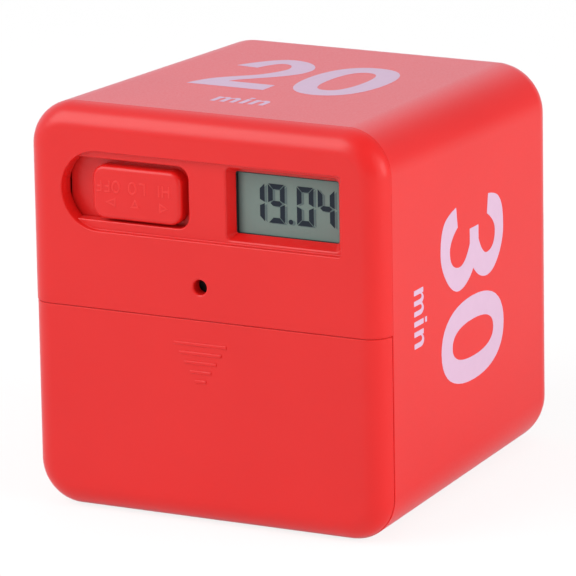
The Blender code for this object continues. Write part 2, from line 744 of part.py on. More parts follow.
def make_knob():
    """The knob and the skirt behind it that keeps the slot covered."""
    half_width, half_height = KNOB_WIDTH / 2, KNOB_HEIGHT / 2
    rings = []
    for i in range(FRONT_EDGE_STEPS + 1):
        angle = math.pi / 2 * i / FRONT_EDGE_STEPS
        inset = KNOB_EDGE_RADIUS * (1 - math.sin(angle))
        depth = KNOB_FACE_DEPTH + KNOB_EDGE_RADIUS * (1 - math.cos(angle))
        rings.append((depth, inset))
    rings.append((skirt_front + OVERLAP, 0))
    knob = loft(
        "switch_knob",
        [
            [
                place(x, depth, z)
                for x, z in rounded_rectangle(
                    knob_x - half_width + inset,
                    knob_x + half_width - inset,
                    knob_z - half_height + inset,
                    knob_z + half_height - inset,
                    KNOB_CORNER_RADIUS - inset,
                    FRONT_EDGE_STEPS,
                )
            ]
            for depth, inset in rings
        ],
    )
    skirt_half = slot_height / 2 + SKIRT_SIDE_COVER
    skirt = box(
        "skirt",
        (slot_left - SKIRT_END_COVER, slot_left - SKIRT_END_COVER + skirt_width),
        (skirt_front, skirt_back),
        (slot_z - skirt_half, slot_z + skirt_half),
    )
    add(knob, skirt)
    socket = box(
        "socket",
        (knob_x - STUB_HALF_LENGTH - FIT_GAP, knob_x + STUB_HALF_LENGTH + FIT_GAP),
        (KNOB_FACE_DEPTH + KNOB_FACE_WALL, skirt_back + OVERRUN),
        (slot_z - STUB_HALF_HEIGHT - FIT_GAP, slot_z + STUB_HALF_HEIGHT + FIT_GAP),
    )
    cut(knob, socket)
    return finish(knob, RED, 0.4, origin=place(knob_x, skirt_front, slot_z))


def make_slide_switch():
    """The metal can, its base with the pins, and the slider that the knob carries."""
    middle = knob_x - SWITCH_TRAVEL / 2
    inner_length = SWITCH_HALF_LENGTH - SWITCH_SHEET
    inner_height = SWITCH_HALF_HEIGHT - SWITCH_SHEET
    frame = box(
        "switch_frame",
        (middle - SWITCH_HALF_LENGTH, middle + SWITCH_HALF_LENGTH),
        (switch_front, switch_back),
        (slot_z - SWITCH_HALF_HEIGHT, slot_z + SWITCH_HALF_HEIGHT),
    )
    inside = box(
        "inside",
        (middle - inner_length, middle + inner_length),
        (switch_front + SWITCH_SHEET, switch_back + OVERRUN),
        (slot_z - inner_height, slot_z + inner_height),
    )
    slit_half = STUB_HALF_LENGTH + SWITCH_TRAVEL / 2 + FIT_GAP
    slit = box(
        "slit",
        (middle - slit_half, middle + slit_half),
        (switch_front - OVERRUN, switch_front + SWITCH_SHEET + OVERLAP),
        (slot_z - STUB_HALF_HEIGHT - FIT_GAP, slot_z + STUB_HALF_HEIGHT + FIT_GAP),
    )
    finish(cut(frame, inside, slit), STEEL, 0.35, 1.0)

    base_front = switch_back - SWITCH_BASE_THICKNESS
    base = box(
        "switch_base",
        (middle - inner_length + FIT_GAP, middle + inner_length - FIT_GAP),
        (base_front, switch_back),
        (slot_z - inner_height + FIT_GAP, slot_z + inner_height - FIT_GAP),
    )
    pin_depths = (switch_back - OVERLAP, board_back + PIN_REACH)
    for x, z in pin_places():
        add(base, rod("pin", x, z, PIN_RADIUS, pin_depths, TINY_ROUND_STEPS))
    finish(base, (0.32, 0.17, 0.07), 0.6)

    slider = box(
        "switch_slider",
        (knob_x - SLIDER_HALF_LENGTH, knob_x + SLIDER_HALF_LENGTH),
        (switch_front + SWITCH_SHEET + FIT_GAP, base_front - FIT_GAP),
        (slot_z - SLIDER_HALF_HEIGHT, slot_z + SLIDER_HALF_HEIGHT),
    )
    stub = box(
        "stub",
        (knob_x - STUB_HALF_LENGTH, knob_x + STUB_HALF_LENGTH),
        (KNOB_FACE_DEPTH + KNOB_FACE_WALL + FIT_GAP, switch_front + SWITCH_SHEET + 2 * FIT_GAP),
        (slot_z - STUB_HALF_HEIGHT, slot_z + STUB_HALF_HEIGHT),
    )
    finish(add(slider, stub), BLACK_PLASTIC, 0.5, origin=place(knob_x, switch_front, slot_z))


def pin_places():
    """Where the switch's pins pass through the board."""
    middle = knob_x - SWITCH_TRAVEL / 2
    return [(middle + PIN_PITCH * (i - (PIN_COUNT - 1) / 2), slot_z) for i in range(PIN_COUNT)]


def make_display():
    """The glass with its contact ledge, the holder round it and the rubber contact strip."""
    left, right = view_left - GLASS_BORDER, view_right + GLASS_BORDER
    top = view_top + GLASS_BORDER
    seal_bottom = view_bottom - GLASS_BORDER
    bottom = seal_bottom - GLASS_LEDGE
    section = [
        (glass_front, bottom),
        (glass_front, top),
        (glass_back, top),
        (glass_back, seal_bottom),
        (glass_middle, seal_bottom),
        (glass_middle, bottom),
    ]
    finish(bar_along_x("lcd_panel", section, (left, right)), (0.22, 0.25, 0.22), 0.15)

    outer_gap = FIT_GAP + HOLDER_WALL
    holder_back = board_front - FIT_GAP
    holder = box(
        "lcd_holder",
        (left - outer_gap, right + outer_gap),
        (glass_front, holder_back),
        (bottom - outer_gap, top + outer_gap),
    )
    seat = box(
        "seat",
        (left - FIT_GAP, right + FIT_GAP),
        (glass_front - OVERRUN, glass_back + FIT_GAP),
        (bottom - FIT_GAP, top + FIT_GAP),
    )
    mouth = box(
        "mouth",
        (left + HOLDER_LEDGE, right - HOLDER_LEDGE),
        (glass_front, holder_back + OVERRUN),
        (bottom, top - HOLDER_LEDGE),
    )
    finish(cut(holder, seat, mouth), BLACK_PLASTIC, 0.5)

    strip_bottom = bottom + FIT_GAP
    strip = box(
        "zebra_strip",
        (left + HOLDER_LEDGE + FIT_GAP, right - HOLDER_LEDGE - FIT_GAP),
        (glass_middle + FIT_GAP, holder_back),
        (strip_bottom, strip_bottom + ZEBRA_HEIGHT),
    )
    finish(strip, (0.75, 0.55, 0.62), 0.7)


def on_board(share):
    """The (x, z) place on the board that a pair of shares gives."""
    across, up = share
    return across * board_half_width, board_bottom + up * (board_top - board_bottom)


def make_board():
    radius = CORNER_RADIUS - WALL - BOARD_TOP_GAP
    outline = arc(board_half_width - radius, board_top - radius, radius, 0, 1, CORNER_STEPS)
    outline += arc(radius - board_half_width, board_top - radius, radius, 1, 2, CORNER_STEPS)
    outline += [(-board_half_width, board_bottom), (board_half_width, board_bottom)]
    board = prism("main_pcb", outline, (board_front, board_back))
    through = (board_front - OVERRUN, board_back + OVERRUN)
    for x, z in BOARD_SCREWS.values():
        cut(board, rod("hole", x, z, BOARD_SCREW_SHANK_RADIUS + FIT_GAP, through, SMALL_ROUND_STEPS))
    for x, z in pin_places():
        cut(board, rod("hole", x, z, PIN_RADIUS + FIT_GAP, through, TINY_ROUND_STEPS))
    finish(board, (0.05, 0.22, 0.07), 0.5)


def make_board_parts():
    """Buzzer in front of the board; chip, crystal and capacitor behind it."""
    can_front = board_front - FIT_GAP - BUZZER_HEIGHT
    profile = [
        (0, BUZZER_HOLE_DEPTH),
        (BUZZER_HOLE_RADIUS, BUZZER_HOLE_DEPTH),
        (BUZZER_HOLE_RADIUS, 0),
        (BUZZER_RADIUS - FIT_GAP, 0),
        (BUZZER_RADIUS, FIT_GAP),
        (BUZZER_RADIUS, BUZZER_HEIGHT),
        (0, BUZZER_HEIGHT),
    ]
    buzzer = turned("buzzer", place(buzzer_x, can_front, buzzer_z), (0, 1, 0), profile)
    finish(buzzer, BLACK_PLASTIC, 0.4)

    x, z = on_board(BLOB_SHARE)
    angles = [math.pi / 2 * i / FRONT_EDGE_STEPS for i in range(FRONT_EDGE_STEPS)]
    dome = [(BLOB_RADIUS * math.cos(a), BLOB_HEIGHT * math.sin(a)) for a in angles]
    blob = turned("chip_blob", place(x, parts_front, z), (0, 1, 0), [(0, 0), *dome, (0, BLOB_HEIGHT)])
    finish(blob, (0.01, 0.01, 0.01), 0.25)

    x, z = on_board(CRYSTAL_SHARE)
    rounding = CRYSTAL_RADIUS / 4
    profile = [
        (0, 0),
        (CRYSTAL_RADIUS - rounding, 0),
        (CRYSTAL_RADIUS, rounding),
        (CRYSTAL_RADIUS, CRYSTAL_LENGTH),
        (0, CRYSTAL_LENGTH),
    ]
    start = place(x, parts_front + CRYSTAL_RADIUS, z)
    crystal = turned("crystal_can", start, (1, 0, 0), profile, SMALL_ROUND_STEPS)
    finish(crystal, STEEL, 0.25, 1.0)

    x, z = on_board(CAPACITOR_SHARE)
    profile = [
        (0, 0),
        (CAPACITOR_RADIUS, 0),
        (CAPACITOR_RADIUS, 2 * CAPACITOR_GROOVE),
        (CAPACITOR_RADIUS - CAPACITOR_GROOVE, 3 * CAPACITOR_GROOVE),
        (CAPACITOR_RADIUS, 4 * CAPACITOR_GROOVE),
        (CAPACITOR_RADIUS, CAPACITOR_HEIGHT - CAPACITOR_GROOVE),
        (CAPACITOR_RADIUS - CAPACITOR_GROOVE, CAPACITOR_HEIGHT),
        (0, CAPACITOR_HEIGHT),
    ]
    capacitor = turned("capacitor", place(x, parts_front, z), (0, 1, 0), profile, SMALL_ROUND_STEPS)
    finish(capacitor, (0.03, 0.03, 0.09), 0.35)


def make_tilt_switch(label, side):
    """A can on the back of the board that leans to one side, its plug and its ball."""
    across, up = TILT_SHARE
    x, z = on_board((side * across, up))
    axis = Vector((side * math.sin(TILT_ANGLE), 0, math.cos(TILT_ANGLE)))
    beside = Vector((math.cos(TILT_ANGLE), 0, -side * math.sin(TILT_ANGLE)))
    low_end = place(x, parts_front + TILT_RADIUS, z) - axis * TILT_LENGTH / 2
    bore = TILT_RADIUS - TILT_WALL
    profile = [
        (0, 0),
        (TILT_RADIUS, 0),
        (TILT_RADIUS, TILT_LENGTH),
        (bore, TILT_LENGTH),
        (bore, TILT_END_WALL),
        (0, TILT_END_WALL),
    ]
    can = turned("tilt_can_" + label, low_end, axis, profile, SMALL_ROUND_STEPS)
    finish(can, (0.78, 0.57, 0.22), 0.35, 1.0)

    plug_start = TILT_LENGTH - TILT_PLUG_DEPTH
    head_start = TILT_LENGTH + FIT_GAP
    head_end = head_start + TILT_PLUG_HEAD
    profile = [
        (0, plug_start),
        (bore - FIT_GAP, plug_start),
        (bore - FIT_GAP, head_start),
        (TILT_RADIUS, head_start),
        (TILT_RADIUS, head_end),
        (0, head_end),
    ]
    plug = turned("tilt_plug_" + label, low_end, axis, profile, SMALL_ROUND_STEPS)
    # Two leads run out of the plug and bend down to the board
    down = Vector((0, -1, 0))
    for share in (-0.5, 0.5):
        start = low_end + axis * (head_end - OVERLAP) + beside * TILT_LEAD_SPACING * share
        bend = start + axis * (OVERLAP + TILT_LEAD_REACH)
        rounding = TILT_LEAD_RADIUS
        route = [start, bend - axis * rounding, bend + down * rounding, bend + down * TILT_RADIUS]
        add(plug, swept("lead", route, TILT_LEAD_RADIUS, TINY_ROUND_STEPS))
    finish(plug, BLACK_PLASTIC, 0.5)

    centre = low_end + axis * (TILT_END_WALL + FIT_GAP + TILT_BALL_RADIUS)
    steps = TINY_ROUND_STEPS
    profile = [(0, -TILT_BALL_RADIUS)]
    for i in range(1, steps):
        angle = math.pi * i / steps
        profile.append((TILT_BALL_RADIUS * math.sin(angle), -TILT_BALL_RADIUS * math.cos(angle)))
    profile.append((0, TILT_BALL_RADIUS))
    ball = turned("tilt_ball_" + label, centre, axis, profile, SMALL_ROUND_STEPS)
    finish(ball, STEEL, 0.15, 1.0, origin=centre)
    travel = plug_start - TILT_END_WALL - 2 * FIT_GAP - 2 * TILT_BALL_RADIUS
    print(f"tilt ball {label}: travel {travel:.5f}")


def make_cell(name, z, side):
    """An AAA cell with its positive nub towards +X for side 1, or towards -X for side -1."""
    nub_start = CELL_LENGTH - CELL_NUB_LENGTH
    profile = [
        (0, 0),
        (CELL_RADIUS - CELL_EDGE, 0),
        (CELL_RADIUS, CELL_EDGE),
        (CELL_RADIUS, nub_start - CELL_EDGE),
        (CELL_RADIUS - CELL_EDGE, nub_start),
        (CELL_NUB_RADIUS, nub_start),
        (CELL_NUB_RADIUS, CELL_LENGTH),
        (0, CELL_LENGTH),
    ]
    positive_end = pocket_half - 2 * FIT_GAP - PLATE_THICKNESS
    start = side * (positive_end - CELL_LENGTH)
    cell = turned(name, place(start, cell_depth, z), (side, 0, 0), profile)
    finish(cell, (0.10, 0.16, 0.30), 0.35, 0.3)


def make_contact(name, side, z_range, tab_z=None):
    """A contact plate at one end of the compartment, with a solder tab through its floor."""
    plate_x = sorted((side * (pocket_half - FIT_GAP), side * (pocket_half - FIT_GAP - PLATE_THICKNESS)))
    plate = box(name, plate_x, (cell_depth - PLATE_WIDTH / 2, cell_depth + PLATE_WIDTH / 2), z_range)
    if tab_z is not None:
        tab = box(
            "tab",
            plate_x,
            (cell_depth, pocket_outer_floor + TAB_REACH),
            (tab_z - TAB_WIDTH / 2, tab_z + TAB_WIDTH / 2),
        )
        add(plate, tab)
    finish(plate, STEEL, 0.3, 1.0)


def make_spring(name, side, z):
    """A conical coil, wide at the contact plate and narrow at the cell."""
    wire_radius = SPRING_WIRE / 2
    start = pocket_half - 2 * FIT_GAP - PLATE_THICKNESS - wire_radius
    run = SPRING_LENGTH - SPRING_WIRE
    count = SPRING_TURNS * SPRING_POINTS_PER_TURN
    route = []
    for i in range(count + 1):
        share = i / count
        angle = 2 * math.pi * i / SPRING_POINTS_PER_TURN
        radius = SPRING_WIDE_RADIUS + (SPRING_NARROW_RADIUS - SPRING_WIDE_RADIUS) * share
        x = side * (start - run * share)
        route.append(place(x, cell_depth + radius * math.cos(angle), z + radius * math.sin(angle)))
    gap = min(
        (a - b).length - SPRING_WIRE
        for i, a in enumerate(route)
        for b in route[i + SPRING_POINTS_PER_TURN - 1 :]
    )
    print(f"{name}: least gap between turns {gap * 1000:.2f} mm")
    finish(swept(name, route, wire_radius, TINY_ROUND_STEPS), STEEL, 0.25, 1.0)


def smooth_route(points, steps):
    """Points along a smooth curve through the given ones (Catmull-Rom)."""
    ends = [2 * points[0] - points[1], *points, 2 * points[-1] - points[-2]]
    spans = len(points) - 1
    route = []
    for i in range(steps + 1):
        along = min(i * spans / steps, spans - 1e-9)
        span = int(along)
        t = along - span
        a, b, c, d = ends[span : span + 4]
        curve = 2 * b + (c - a) * t + (2 * a - 5 * b + 4 * c - d) * t**2 + (3 * b - a - 3 * c + d) * t**3
        route.append(curve / 2)
    return route


def make_wire(name, cell_z, pad_share, bow, colour):
    """A lead from a contact's solder tab, round behind the screw post, to its pad on the board."""
    pad_x, pad_z = on_board(pad_share)
    tab_x = pocket_half - FIT_GAP - PLATE_THICKNESS / 2
    start_depth = pocket_outer_floor + TAB_REACH + FIT_GAP
    end_depth = parts_front
    back_depth = start_depth + bow
    points = [
        place(tab_x, start_depth, cell_z),
        place(tab_x, start_depth + bow / 2, cell_z + bow / 4),
        place((3 * tab_x + pad_x) / 4, back_depth, (2 * cell_z + cover_screw_z) / 3),
        place((tab_x + 3 * pad_x) / 4, back_depth, cover_screw_z),
        place(pad_x, (start_depth + end_depth) / 2, pad_z),
        place(pad_x, end_depth, pad_z),
    ]
    route = smooth_route(points, WIRE_ROUTE_STEPS)
    finish(swept(name, route, WIRE_RADIUS, SMALL_ROUND_STEPS), colour, 0.5)


def make_screw(name, x, z, head, shank, back_facing):
    """A pan-head screw with a cross recess; its head faces the front, or the back."""
    head_radius, head_height, head_edge = head
    shank_radius, shank_end = shank
    way = -1 if back_facing else 1
    length = abs(shank_end - head_edge)
    rounding = head_height / 3
    profile = [
        (0, 0),
        (head_radius - rounding, 0),
        (head_radius, rounding),
        (head_radius, head_height),
        (shank_radius, head_height),
        (shank_radius, length - shank_radius),
        (0, length),
    ]
    screw = turned(name, place(x, head_edge, z), (0, way, 0), profile, SMALL_ROUND_STEPS)
    depths = sorted((head_edge - way * OVERRUN, head_edge + way * CROSS_DEPTH))
    for long_half, short_half in ((CROSS_LENGTH / 2, CROSS_WIDTH / 2), (CROSS_WIDTH / 2, CROSS_LENGTH / 2)):
        cut(screw, box("cross", (x - long_half, x + long_half), depths, (z - short_half, z + short_half)))
    return finish(screw, STEEL, 0.3, 1.0)


def make_screws():
    head = (COVER_SCREW_HEAD_RADIUS, COVER_SCREW_HEAD_HEIGHT, head_front)
    shank = (COVER_SCREW_SHANK_RADIUS, head_back + COVER_SCREW_SHANK_LENGTH)
    for label, side in (("left", -1), ("right", 1)):
        make_screw("cover_screw_" + label, side * cover_screw_x, cover_screw_z, head, shank, False)
    head = (BOARD_SCREW_HEAD_RADIUS, BOARD_SCREW_HEAD_HEIGHT, parts_front + BOARD_SCREW_HEAD_HEIGHT)
    shank = (BOARD_SCREW_SHANK_RADIUS, WALL + BOARD_BOSS_END + FIT_GAP)
    for label, (x, z) in BOARD_SCREWS.items():
        make_screw("board_screw_" + label, x, z, head, shank, True)


def stand_on_bottom(pieces):
    """Leans the pieces back until the bottom is level, with the footprint's centre at the origin."""
    stance = bpy.data.objects.new("stance", None)
    bpy.context.scene.collection.objects.link(stance)
    stance.rotation_euler.x = -math.atan2(DRAFT, BODY_DEPTH - FRONT_EDGE_RADIUS)
    for piece in pieces:
        piece.parent = stance
    bpy.context.view_layer.update()
    corners = [piece.matrix_world @ vertex.co for piece in pieces for vertex in piece.data.vertices]
    ys = [corner.y for corner in corners]
    stance.location = (0, -(min(ys) + max(ys)) / 2, -min(corner.z for corner in corners))
    bpy.context.view_layer.update()
    print("place of the origin:", [round(v, 5) for v in stance.location])
    print("lean:", [round(v, 6) for v in stance.matrix_world.to_3x3() @ Vector((0, 0, 1))])
    for piece in pieces:
        if piece.location.length:
            print(piece.name, "origin", [round(v, 5) for v in piece.matrix_world.translation])


def main():
    for old in list(bpy.data.objects):
        bpy.data.objects.remove(old)
    make_main_shell()
    make_front_cover()
    make_battery_door()
    make_knob()
    make_slide_switch()
    make_display()
    make_board()
    make_board_parts()
    make_tilt_switch("left", -1)
    make_tilt_switch("right", 1)
    make_cell("battery_lower", lower_cell_z, 1)
    make_cell("battery_upper", upper_cell_z, -1)
    half = PLATE_WIDTH / 2
    make_contact("bridge_contact", -1, (lower_cell_z - half, upper_cell_z + half))
    make_contact("positive_contact", 1, (lower_cell_z - half, lower_cell_z + half), lower_cell_z)
    make_contact("negative_contact", 1, (upper_cell_z - half, upper_cell_z + half), upper_cell_z)
    make_spring("bridge_spring", -1, lower_cell_z)
    make_spring("negative_spring", 1, upper_cell_z)
    make_wire("red_wire", lower_cell_z, RED_PAD_SHARE, 1.6 * WIRE_BOW, (0.6, 0.02, 0.02))
    make_wire("black_wire", upper_cell_z, BLACK_PAD_SHARE, WIRE_BOW, (0.02, 0.02, 0.02))
    make_screws()
    stand_on_bottom(list(bpy.data.objects))
    print(f"width {2 * body_half_width:.5f} height {body_height:.5f} depth {BODY_DEPTH:.5f}")
    print(f"seam {door_top:.5f} recess {recess_left:.5f} {recess_right:.5f}")
    print(f"recess z {recess_bottom:.5f} {recess_top:.5f}")
    print(f"slot {slot_left:.5f} {slot_right:.5f} z {slot_z:.5f} knob {knob_x:.5f}")
    print(f"view {view_left:.5f} {view_right:.5f}")


main()
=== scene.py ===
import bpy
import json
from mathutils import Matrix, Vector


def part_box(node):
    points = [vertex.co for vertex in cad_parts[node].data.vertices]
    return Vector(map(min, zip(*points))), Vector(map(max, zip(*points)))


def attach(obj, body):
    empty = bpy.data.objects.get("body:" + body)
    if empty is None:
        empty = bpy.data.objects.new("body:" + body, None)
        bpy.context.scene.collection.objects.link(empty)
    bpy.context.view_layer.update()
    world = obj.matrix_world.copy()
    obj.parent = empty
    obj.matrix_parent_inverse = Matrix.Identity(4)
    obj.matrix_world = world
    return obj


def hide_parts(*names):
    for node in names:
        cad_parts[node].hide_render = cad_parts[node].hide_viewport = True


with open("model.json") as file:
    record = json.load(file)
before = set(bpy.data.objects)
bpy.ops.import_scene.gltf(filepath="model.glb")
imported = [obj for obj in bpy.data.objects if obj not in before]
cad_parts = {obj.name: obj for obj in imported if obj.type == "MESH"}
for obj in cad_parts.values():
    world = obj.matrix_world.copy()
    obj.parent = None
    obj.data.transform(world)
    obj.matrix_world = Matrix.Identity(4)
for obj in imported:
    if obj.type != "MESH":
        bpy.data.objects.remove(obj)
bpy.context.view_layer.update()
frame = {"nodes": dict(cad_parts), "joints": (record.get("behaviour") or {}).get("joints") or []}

import json
import math

import bmesh
import bpy
from mathutils import Matrix, Vector

mm = 0.001

# Everything is drawn upright in millimetres as (x, depth, z): depth runs back from the display face.
# The sides draw in towards the back, so the timer leans back a little to stand on a level bottom.
slideAxis = Vector(next(joint["axis"] for joint in frame["joints"] if joint["name"] == "door_slide"))
upWay = -slideAxis.normalized()
backWay = Vector((0, upWay.z, -upWay.y))
leanTurn = Matrix(((1, 0, 0), backWay, upWay)).transposed()
stance = {"matrix": leanTurn.to_4x4()}


# Small helpers: colour, nodes, meshes

def hexColour(code):
    parts = [int(code[i:i + 2], 16) / 255 for i in (1, 3, 5)]
    return (*[p / 12.92 if p <= 0.04045 else ((p + 0.055) / 1.055) ** 2.4 for p in parts], 1)


def setUp(node, settings):
    # a setting is an input or a property of the node; its value is plain, or a socket to link, or another
    # node, which stands for its first output
    for key, value in settings.items():
        if isinstance(value, bpy.types.Node):
            value = value.outputs[0]
        if isinstance(value, bpy.types.NodeSocket):
            node.id_data.links.new(value, node.inputs[key])
        elif isinstance(key, int) or key in node.inputs:
            node.inputs[key].default_value = value
        else:
            setattr(node, key, value)
    return node


def addNode(tree, kind, settings=()):
    # kind is a whole name or a shader node's short one
    return setUp(tree.nodes.new(kind if "Node" in kind else "ShaderNode" + kind), dict(settings))


def addMath(tree, operation, first, second, clamped=False):
    return addNode(tree, "Math", {"operation": operation, "use_clamp": clamped, 0: first, 1: second})


def placeObject(name, data):
    made = bpy.data.objects.new(name, data)
    bpy.context.scene.collection.objects.link(made)
    return made


def makeMesh(points, faces):
    mesh = bpy.data.meshes.new("part")
    mesh.from_pydata([(x * mm, depth * mm, z * mm) for x, depth, z in points], [], faces)
    shape = bmesh.new()
    shape.from_mesh(mesh)
    bmesh.ops.recalc_face_normals(shape, faces=shape.faces)
    shape.to_mesh(mesh)
    shape.free()
    return placeObject("part", mesh)


def loft(rings, closed=False):
    # a skin over rings of points; the ends are filled unless the last ring joins the first
    count, rows = len(rings[0]), len(rings)
    faces = [] if closed else [list(range(count)), list(range((rows - 1) * count, rows * count))]
    for row in range(rows if closed else rows - 1):
        first, second = row * count, (row + 1) % rows * count
        for i in range(count):
            j = (i + 1) % count
            faces.append([first + i, first + j, second + j, second + i])
    return makeMesh([point for ring in rings for point in ring], faces)


def prism(outline, depths):
    return loft([[(x, depth, z) for x, z in outline] for depth in depths])


def block(xRange, depthRange, zRange):
    (x0, x1), (z0, z1) = xRange, zRange
    return prism([(x0, z0), (x1, z0), (x1, z1), (x0, z1)], depthRange)


def arcPoints(cx, cz, radius, start, turns, steps):
    # part of a circle, where start and turns count right angles
    angles = [math.pi / 2 * (start + turns * i / steps) for i in range(steps + 1)]
    return [(cx + radius * math.cos(angle), cz + radius * math.sin(angle)) for angle in angles]


def quarterSteps(steps):
    # how far a quarter circle has come away from its start, and how far it still has to go
    angles = [math.pi / 2 * i / steps for i in range(steps + 1)]
    return [(1 - math.cos(angle), 1 - math.sin(angle)) for angle in angles]


def roundedBox(left, right, bottom, top, radius, steps=12):
    low, high = bottom + radius, top - radius
    corners = [(right - radius, low), (right - radius, high), (left + radius, high), (left + radius, low)]
    arcs = [arcPoints(*corner, radius, turn - 1, 1, steps) for turn, corner in enumerate(corners)]
    return [point for arc in arcs for point in arc]


def turned(start, axis, profile, steps=48):
    # profile: (radius, distance along the axis); a radius of zero is a point on the axis
    axis = Vector(axis).normalized()
    across = axis.orthogonal().normalized()
    beside = axis.cross(across)
    points, rings = [], []
    for radius, along in profile:
        centre = Vector(start) + axis * along
        if radius == 0:
            rings.append([len(points)])
            points.append(centre)
            continue
        rings.append(list(range(len(points), len(points) + steps)))
        for i in range(steps):
            angle = 2 * math.pi * i / steps
            points.append(centre + radius * (math.cos(angle) * across + math.sin(angle) * beside))
    faces = [rings[end] for end in (0, -1) if len(rings[end]) > 1]
    for first, second in zip(rings, rings[1:]):
        for i in range(steps):
            j = (i + 1) % steps
            corners = [first[i % len(first)], first[j % len(first)]]
            corners += [second[j % len(second)], second[i % len(second)]]
            faces.append(list(dict.fromkeys(corners)))
    return makeMesh(points, faces)


def rod(x, z, radius, depths, steps=40):
    return turned((x, depths[0], z), (0, 1, 0), [(radius, 0), (radius, depths[1] - depths[0])], steps)


def plainMesh(piece):
    # the mesh that a piece's modifiers make, or the one that fills a flat curve
    bpy.context.view_layer.update()
    return bpy.data.meshes.new_from_object(piece.evaluated_get(bpy.context.evaluated_depsgraph_get()))


def bakeModifiers(piece):
    result = plainMesh(piece)
    piece.modifiers.clear()
    piece.data = result
    return piece


def combine(operation, target, tools):
    for tool in tools:
        modifier = target.modifiers.new(operation, "BOOLEAN")
        modifier.operation = operation
        modifier.solver = "EXACT"
        modifier.object = tool
        bakeModifiers(target)
        bpy.data.objects.remove(tool)
    return target


def fuse(target, *tools):
    return combine("UNION", target, tools)


def cut(target, *tools):
    return combine("DIFFERENCE", target, tools)


def common(target, *tools):
    return combine("INTERSECT", target, tools)


def joinMeshes(target, *others):
    shape = bmesh.new()
    shape.from_mesh(target.data)
    for other in others:
        shape.from_mesh(other.data)
        bpy.data.objects.remove(other)
    shape.to_mesh(target.data)
    shape.free()
    return target


def finishPiece(name, piece, material, body, replaced=(), sharpAngle=32):
    piece.name = name
    piece.data.transform(stance["matrix"])
    piece.data.materials.clear()
    piece.data.materials.append(material)
    piece.data.shade_smooth()
    piece.data.set_sharp_from_angle(angle=math.radians(sharpAngle))
    weighted = piece.modifiers.new("flat faces stay flat", "WEIGHTED_NORMAL")
    weighted.keep_sharp = True
    bakeModifiers(piece)
    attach(piece, body)
    if replaced:
        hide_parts(*replaced)


# Materials

def startMaterial(name):
    material = bpy.data.materials.new(name)
    material.use_nodes = True
    return material, material.node_tree, addNode(material.node_tree, "TexCoord").outputs["Object"]


def finishMaterial(material, colour, settings):
    setUp(material.node_tree.nodes["Principled BSDF"], {"Base Color": colour, **settings})
    return material


def addNoise(tree, coords, size, detail, **settings):
    settings["Scale"] = 1 / (size * mm)
    return addNode(tree, "TexNoise", {"Detail": detail, "Vector": coords, **settings})


def addRange(tree, value, start, end, kind="LINEAR"):
    # start and end: a value and what it becomes
    limits = {"From Min": start[0], "From Max": end[0], "To Min": start[1], "To Max": end[1]}
    return addNode(tree, "MapRange", {"interpolation_type": kind, "Value": value, **limits})


def addTint(tree, light, deep, share):
    # a colour between two others, as far towards the second as the share says
    colours = {"data_type": "RGBA", 0: share, 6: hexColour(light), 7: hexColour(deep)}
    return addNode(tree, "Mix", colours).outputs[2]


def moulded(name, light, deep, patchSize, grainSize, grainHeight, roughness):
    # ABS from a spark-eroded mould: satin, with a grain that is only just seen where light grazes it
    material, tree, coords = startMaterial(name)
    tint = addTint(tree, light, deep, addNoise(tree, coords, patchSize, 2))
    grain = addNoise(tree, coords, grainSize, 3, Roughness=0.6)
    gloss = addRange(tree, grain, (0.3, roughness - 0.035), (0.7, roughness + 0.035))
    bump = addNode(tree, "Bump", {"Strength": 0.35, "Distance": grainHeight * mm, "Height": grain})
    return finishMaterial(material, tint, {"IOR": 1.46, "Roughness": gloss, "Normal": bump})


def printedInk(name, light, deep, roughness):
    # pad-printed ink: matte, a touch uneven where the pad left it thinner
    material, tree, coords = startMaterial(name)
    tint = addTint(tree, light, deep, addNoise(tree, coords, 1.4, 4))
    return finishMaterial(material, tint, {"IOR": 1.48, "Roughness": roughness})


def metalFinish(name, light, deep, roughness, scratchSize):
    # drawn or stamped sheet and wire: fine rubbing marks give the shine a grain
    material, tree, coords = startMaterial(name)
    rubbed = addNoise(tree, coords, scratchSize, 4, Distortion=0.4)
    gloss = addRange(tree, rubbed, (0, roughness - 0.08), (1, roughness + 0.08))
    return finishMaterial(material, addTint(tree, light, deep, rubbed), {"Metallic": 1, "Roughness": gloss})


def solderMask(name, light, deep):
    # green lacquer over glass-epoxy board: copper runs show through as a paler, slightly raised web
    material, tree, coords = startMaterial(name)
    web = {"feature": "DISTANCE_TO_EDGE", "Scale": 1 / (2.6 * mm), "Vector": coords}
    runs = addNode(tree, "TexVoronoi", web).outputs["Distance"]
    edge = addRange(tree, runs, (0.03, 1), (0.07, 0))
    bump = addNode(tree, "Bump", {"Strength": 0.5, "Distance": 0.03 * mm, "Height": edge})
    tint = addTint(tree, light, deep, edge)
    return finishMaterial(material, tint, {"IOR": 1.52, "Roughness": 0.34, "Normal": bump})


def stripedRubber(name, light, deep):
    # silicone strip of alternating clear and carbon layers, drawn at 0.36 mm so that the layers show
    material, tree, coords = startMaterial(name)
    bands = {"bands_direction": "X", "Scale": 0.314 / (0.36 * mm), "Distortion": 0, "Vector": coords}
    layers = addNode(tree, "TexWave", bands).outputs["Fac"]
    return finishMaterial(material, addTint(tree, light, deep, layers), {"IOR": 1.41, "Roughness": 0.6})


